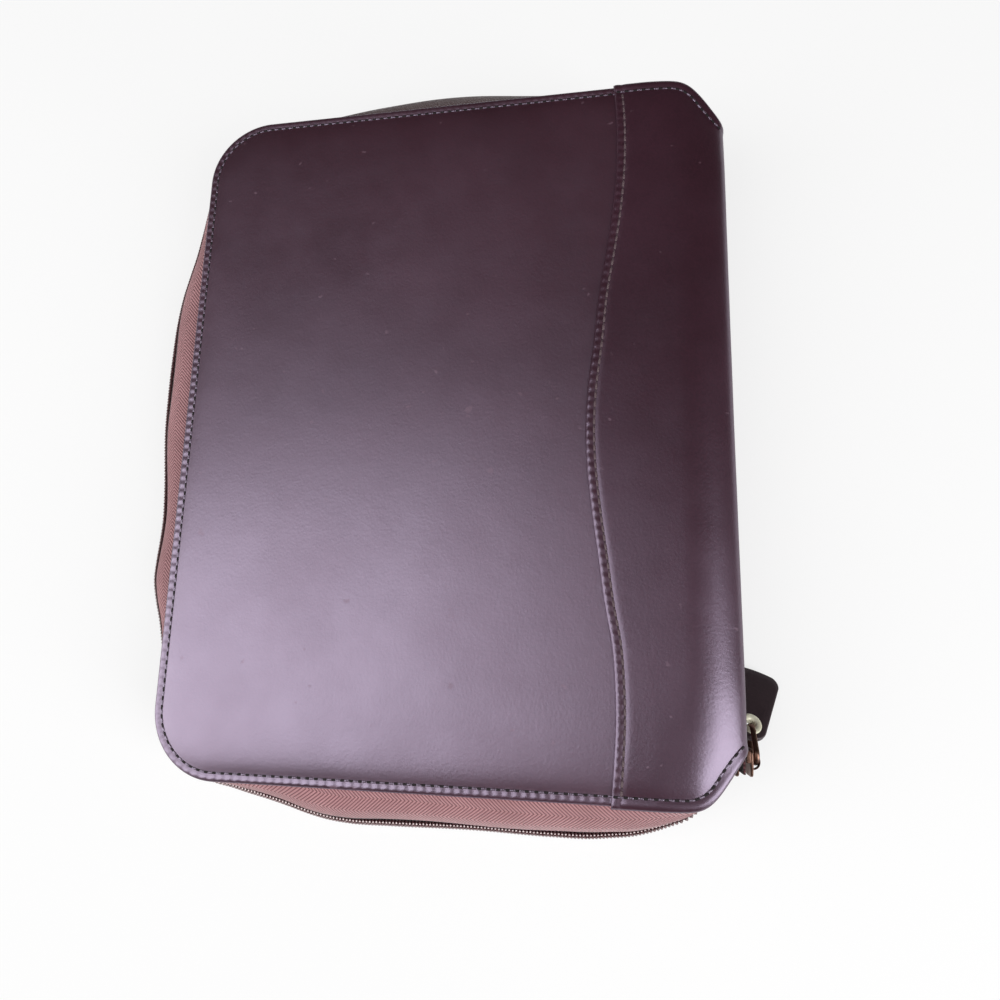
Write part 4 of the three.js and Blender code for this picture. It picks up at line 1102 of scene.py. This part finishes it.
def plain_weave(name, light, dark, pitch, roughness=0.85):
    """Two crossed sine waves in the plane of the cloth, lifted by turns."""
    f = Finish(name, roughness, Sheen_Weight=0.15)
    x, y, z = f.place((2 * math.pi / pitch,) * 3).split()
    woven = ((x + z).maths("SINE") * y.maths("SINE")).level(-1.0, 1.0)
    stains = f.place().noise(40.0).ramp((0.3, (0.8,) * 3), (0.7, (1.1,) * 3))
    f.drive("Base Color", woven.ramp((0.2, dark), (0.8, light)).mix(1.0, stains, "MULTIPLY"))
    return f.bump((woven, 0.5, 0.00012))


rose_tape = herringbone("rose_herringbone_tape", (0.55, 0.27, 0.285), (0.19, 0.070, 0.078),
                        (0.022, 0.005, 0.007))
tail_tape = herringbone("shaded_tail_tape", (0.17, 0.055, 0.06), (0.06, 0.015, 0.02), (0.02, 0.004, 0.006))
lining_cloth = plain_weave("lining_cloth", (0.050, 0.030, 0.040), (0.022, 0.012, 0.018), 0.0009)
elastic = plain_weave("pen_loop_elastic", (0.040, 0.026, 0.033), (0.014, 0.008, 0.012), 0.0012)
pad_foam = plain_weave("pad_foam", (0.72, 0.68, 0.60), (0.55, 0.52, 0.45), 0.0016, 0.95)


# %% Metal, paper and board
def metal(name, colour, worn, roughness, metallic=1.0):
    """Brushed or plated metal: long faint scratches, and wear in slow patches."""
    f = Finish(name, roughness, metallic)
    patches = f.place().noise(260.0)
    f.drive("Base Color", patches.ramp((0.35, colour), (0.72, worn)))
    f.drive("Roughness", patches.level(0.3, 0.7, roughness - 0.06, roughness + 0.12))
    return f.bump((f.place((400, 4000, 900)).noise(1.0, 3.0), 0.12, 0.00004))


def paper(name, colour, ruled=False):
    """Fibres; fine layers on the cut edges, whose own normal is level; ruled lines on planner pages."""
    f = Finish(name, 0.85)
    fibres = f.place().noise(700.0)
    up = node(f.tree, "ShaderNodeTexCoord", out="Normal").split()[2]
    sheets = f.place((6, 6, 5200), (0, -WEDGE, 0)).noise(1.0, 2.0).maths("MAXIMUM", abs(up).level(0.5, 0.8))
    layers = sheets.ramp((0.35, (0.86,) * 3), (0.6, (1.0,) * 3))
    base = fibres.ramp((0.3, tuple(c * 0.93 for c in colour)), (0.7, colour)).mix(1.0, layers, "MULTIPLY")
    if ruled:
        line = abs((f.place().split()[1] * (math.pi / (7 * MM))).maths("SINE"))
        base = base.mix(line.level(0.05, 0.075, 0.45, 0.0), (0.28, 0.36, 0.44))
    f.drive("Base Color", base)
    return f.bump((fibres, 0.15, 0.00005), (sheets, 0.3, 0.00006))


ring_steel = metal("ring_steel", (0.62, 0.63, 0.65), (0.50, 0.51, 0.53), 0.24)
slider_copper = metal("slider_copper", (0.24, 0.14, 0.105), (0.10, 0.05, 0.04), 0.36)
cream_metal = metal("cream_eyelet_metal", (0.90, 0.88, 0.70), (0.80, 0.77, 0.58), 0.38, 0.1)
page_paper = paper("page_paper", (0.86, 0.84, 0.77), ruled=True)
divider_card = paper("divider_card", (0.62, 0.50, 0.33))
grey_board = paper("binders_board", (0.36, 0.30, 0.25))
print("finishes:", len(bpy.data.materials))

# %% [markdown]
# ## What each piece rides on
# A piece moves with the body that carries it. The two halves of the wrap, the fold stitches and the cloth
# hinges lie between a cover and the spine and are kept where they are made. Pieces that stand for a soft solid
# of the model hide it.

# %% Riding and replacing
def fit(obj, body, slot, material, *nodes):
    print(obj.name, "rides on", body)
    dress(material, obj)
    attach(obj, body)
    if nodes:
        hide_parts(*nodes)


def bend(obj, side, start, end, slot, material, *nodes):
    """Dresses the piece and bakes its place into its points; start and end, both (x, z) in mm, are turned into
    metres and not used further.
    """
    start, end = ((float(x) * MM, 0.0, float(z) * MM) for x, z in (start, end))
    print(obj.name, "bends between the", side, "cover and the spine")
    dress(material, obj)
    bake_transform(obj)
    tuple(start)
    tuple(end)
    if nodes:
        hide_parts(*nodes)


def fold_ends(side):
    """The two points between which the leather bends: just past the cover's plane, and at the spine."""
    first, last = FOLDS[side][0][[0, -1]]
    return [on_wrap(side, s, HALF_HEIGHT, 0.0)[[0, 2]] for s in (first + 5.0, last)]


# %% Case and seams
STANDS_FOR = {"front": ("front_overlay_panel", "spine_leather"), "back": ()}
fit(front_padding, "front_cover", "foam", pad_foam, "front_foam")
for side in SIDES:
    cover = f"{side}_cover"
    fit(panels[side], cover, "leather", plum, f"{side}_leather")
    bend(wraps[side], side, *fold_ends(side), "panel_leather", plum_wrap, *STANDS_FOR[side])
    hinge, *places = hinges[side]
    bend(hinge, side, *places, "lining", lining_cloth)
    for piece in stitches[side]:
        # Holes take the painted shade finishes.
        thread, hole = (worn_thread, seam_hole_shade) if "seam" in piece.name else (plum_thread, hole_painted_shade)
        fit(piece, cover, "leather", hole if piece.name.endswith("holes") else thread)
    for piece in fold_stitches[side]:
        finish = hole_painted_shade if piece.name.endswith("holes") else plum_thread
        bend(piece, side, *fold_ends(side), "panel_leather", finish)
    fit(linings[side], cover, "lining", lining_cloth, f"{side}_lining")
    polygon_area(cover_outline(1.5))
fit(spine_cloth, "spine", "lining", lining_cloth, "spine_lining")
for solid, (body, threads) in pockets.items():
    cover = f"{solid.split('_')[0]}_cover"
    fit(body, cover, "leather", inner_leather, solid)
    fit(threads, cover, "leather", plum_thread)
fit(pen_loop, "front_cover", "lining", elastic, "pen_loop")

# %% Zip and pull
for word, cover in (("lower", "back_cover"), ("upper", "front_cover")):
    fit(tapes[word], cover, "zip_tape", rose_tape, f"{word}_zip_tape")
    fit(coils[word][0], cover, "zip_coil", nylon, f"{word}_zip_coil")
    fit(coils[word][1], cover, "zip_coil", core_cord)
    fit(tails[word], "spine", "zip_tape", tail_tape, f"zip_tail_{word}")
fit(slider_parts[0], "slider", "slider_copper", slider_copper, "slider_body")
for piece in slider_parts[1:]:
    fit(piece, "slider", "slider_copper", slider_copper)
fit(strap, "slider", "slider_copper", slider_copper, "slider_bridge")
fit(link, "link", "slider_copper", slider_copper, "pull_link")
fit(tab, "tab", "tab_leather", dark_leather, "pull_tab")
fit(eyelet, "tab", "eyelet_metal", cream_metal, "pull_eyelet")

# %% Solids of the model that stay visible
ENDINGS = {"_pages": page_paper, "_divider": divider_card, "_board": grey_board}
for name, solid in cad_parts.items():
    if name.startswith(("ring_", "hinge_", "lever_", "base_rivet")):
        dress(ring_steel, solid)
    for ending, material in ENDINGS.items():
        if name.endswith(ending):
            dress(material, solid)

# %% [markdown]
# ## Light and floor
# The photograph was taken beside a large window on the left, which the satin leather mirrors as a pale
# haze that fades towards the far right corner. A tall soft lamp stands for the window, and a second one
# on the right draws the bright line down the fold. The floor is plain and pale and keeps a soft shadow.

# %% Lamps, world and floor
def soft_lamp(name, direction, distance, width, height, radiance):
    """An area lamp that faces the middle of the case; power is pi times area times radiance."""
    data = bpy.data.lights.new(name, "AREA")
    data.shape, data.size, data.size_y = "RECTANGLE", width, height
    data.energy = radiance * math.pi * width * height
    lamp = bpy.data.objects.new(name, data)
    bpy.context.scene.collection.objects.link(lamp)
    d = unit(np.array(direction, float))
    x = unit(np.cross([0.0, 0.0, 1.0], d))
    axes = Matrix(np.stack([x, np.cross(d, x), d], 1).tolist()).to_4x4()
    lamp.matrix_world = Matrix.Translation(tuple(d * distance + [0, 0, 0.02])) @ axes
    print(name, "power", round(data.energy, 2), "W")


soft_lamp("window", (-0.806, -0.212, 0.552), 1.2, 0.78, 2.43, 3.7)
soft_lamp("room_right", (0.72, -0.42, 0.53), 1.2, 0.60, 1.05, 6.2)
world = bpy.data.worlds.new("room")
bpy.context.scene.world = world
world.use_nodes = True
tree = world.node_tree
room = tree.nodes["Background"]
room.inputs["Color"].default_value, room.inputs["Strength"].default_value = (1.0, 0.98, 0.96, 1), 0.03
backdrop = node(tree, "ShaderNodeBackground", {"Color": (1, 1, 1, 1), "Strength": 1.0})


def for_camera(tree, shader, other, share, output):
    """Camera rays see the other shader by this share; all other rays meet the first one alone."""
    seen = node(tree, "ShaderNodeLightPath", out="Is Camera Ray") * share
    both = node(tree, "ShaderNodeMixShader", {0: seen, 1: Signal(tree, shader.outputs[0]), 2: other})
    tree.links.new(both.socket, tree.nodes[output].inputs["Surface"])


for_camera(tree, room, backdrop, 1.0, "World Output")

FLOOR, FLOOR_Z = 3.0, -0.0002
floor_mesh = bpy.data.meshes.new("floor")
floor_mesh.from_pydata([(x * FLOOR, y * FLOOR, FLOOR_Z) for x, y in ((-1, -1), (1, -1), (1, 1), (-1, 1))],
                       [], [(0, 1, 2, 3)])
floor = bpy.data.objects.new("floor", floor_mesh)
bpy.context.scene.collection.objects.link(floor)
f = Finish("pale_floor", 0.9, Specular_IOR_Level=0.2)
f.drive("Base Color", f.place().noise(3.0).ramp((0.3, (0.90,) * 3), (0.7, (0.93,) * 3)))
glow = node(f.tree, "ShaderNodeEmission", {"Strength": 1.0})
for_camera(f.tree, f.shader, glow, 0.75, "Material Output")
dress(f.material, floor)
bpy.context.scene.view_settings.view_transform = "Standard"

# %% [markdown]
# ## The last update
# Leather and thread stand a little outside the model's solids.

# %% Last update
bpy.context.view_layer.update()
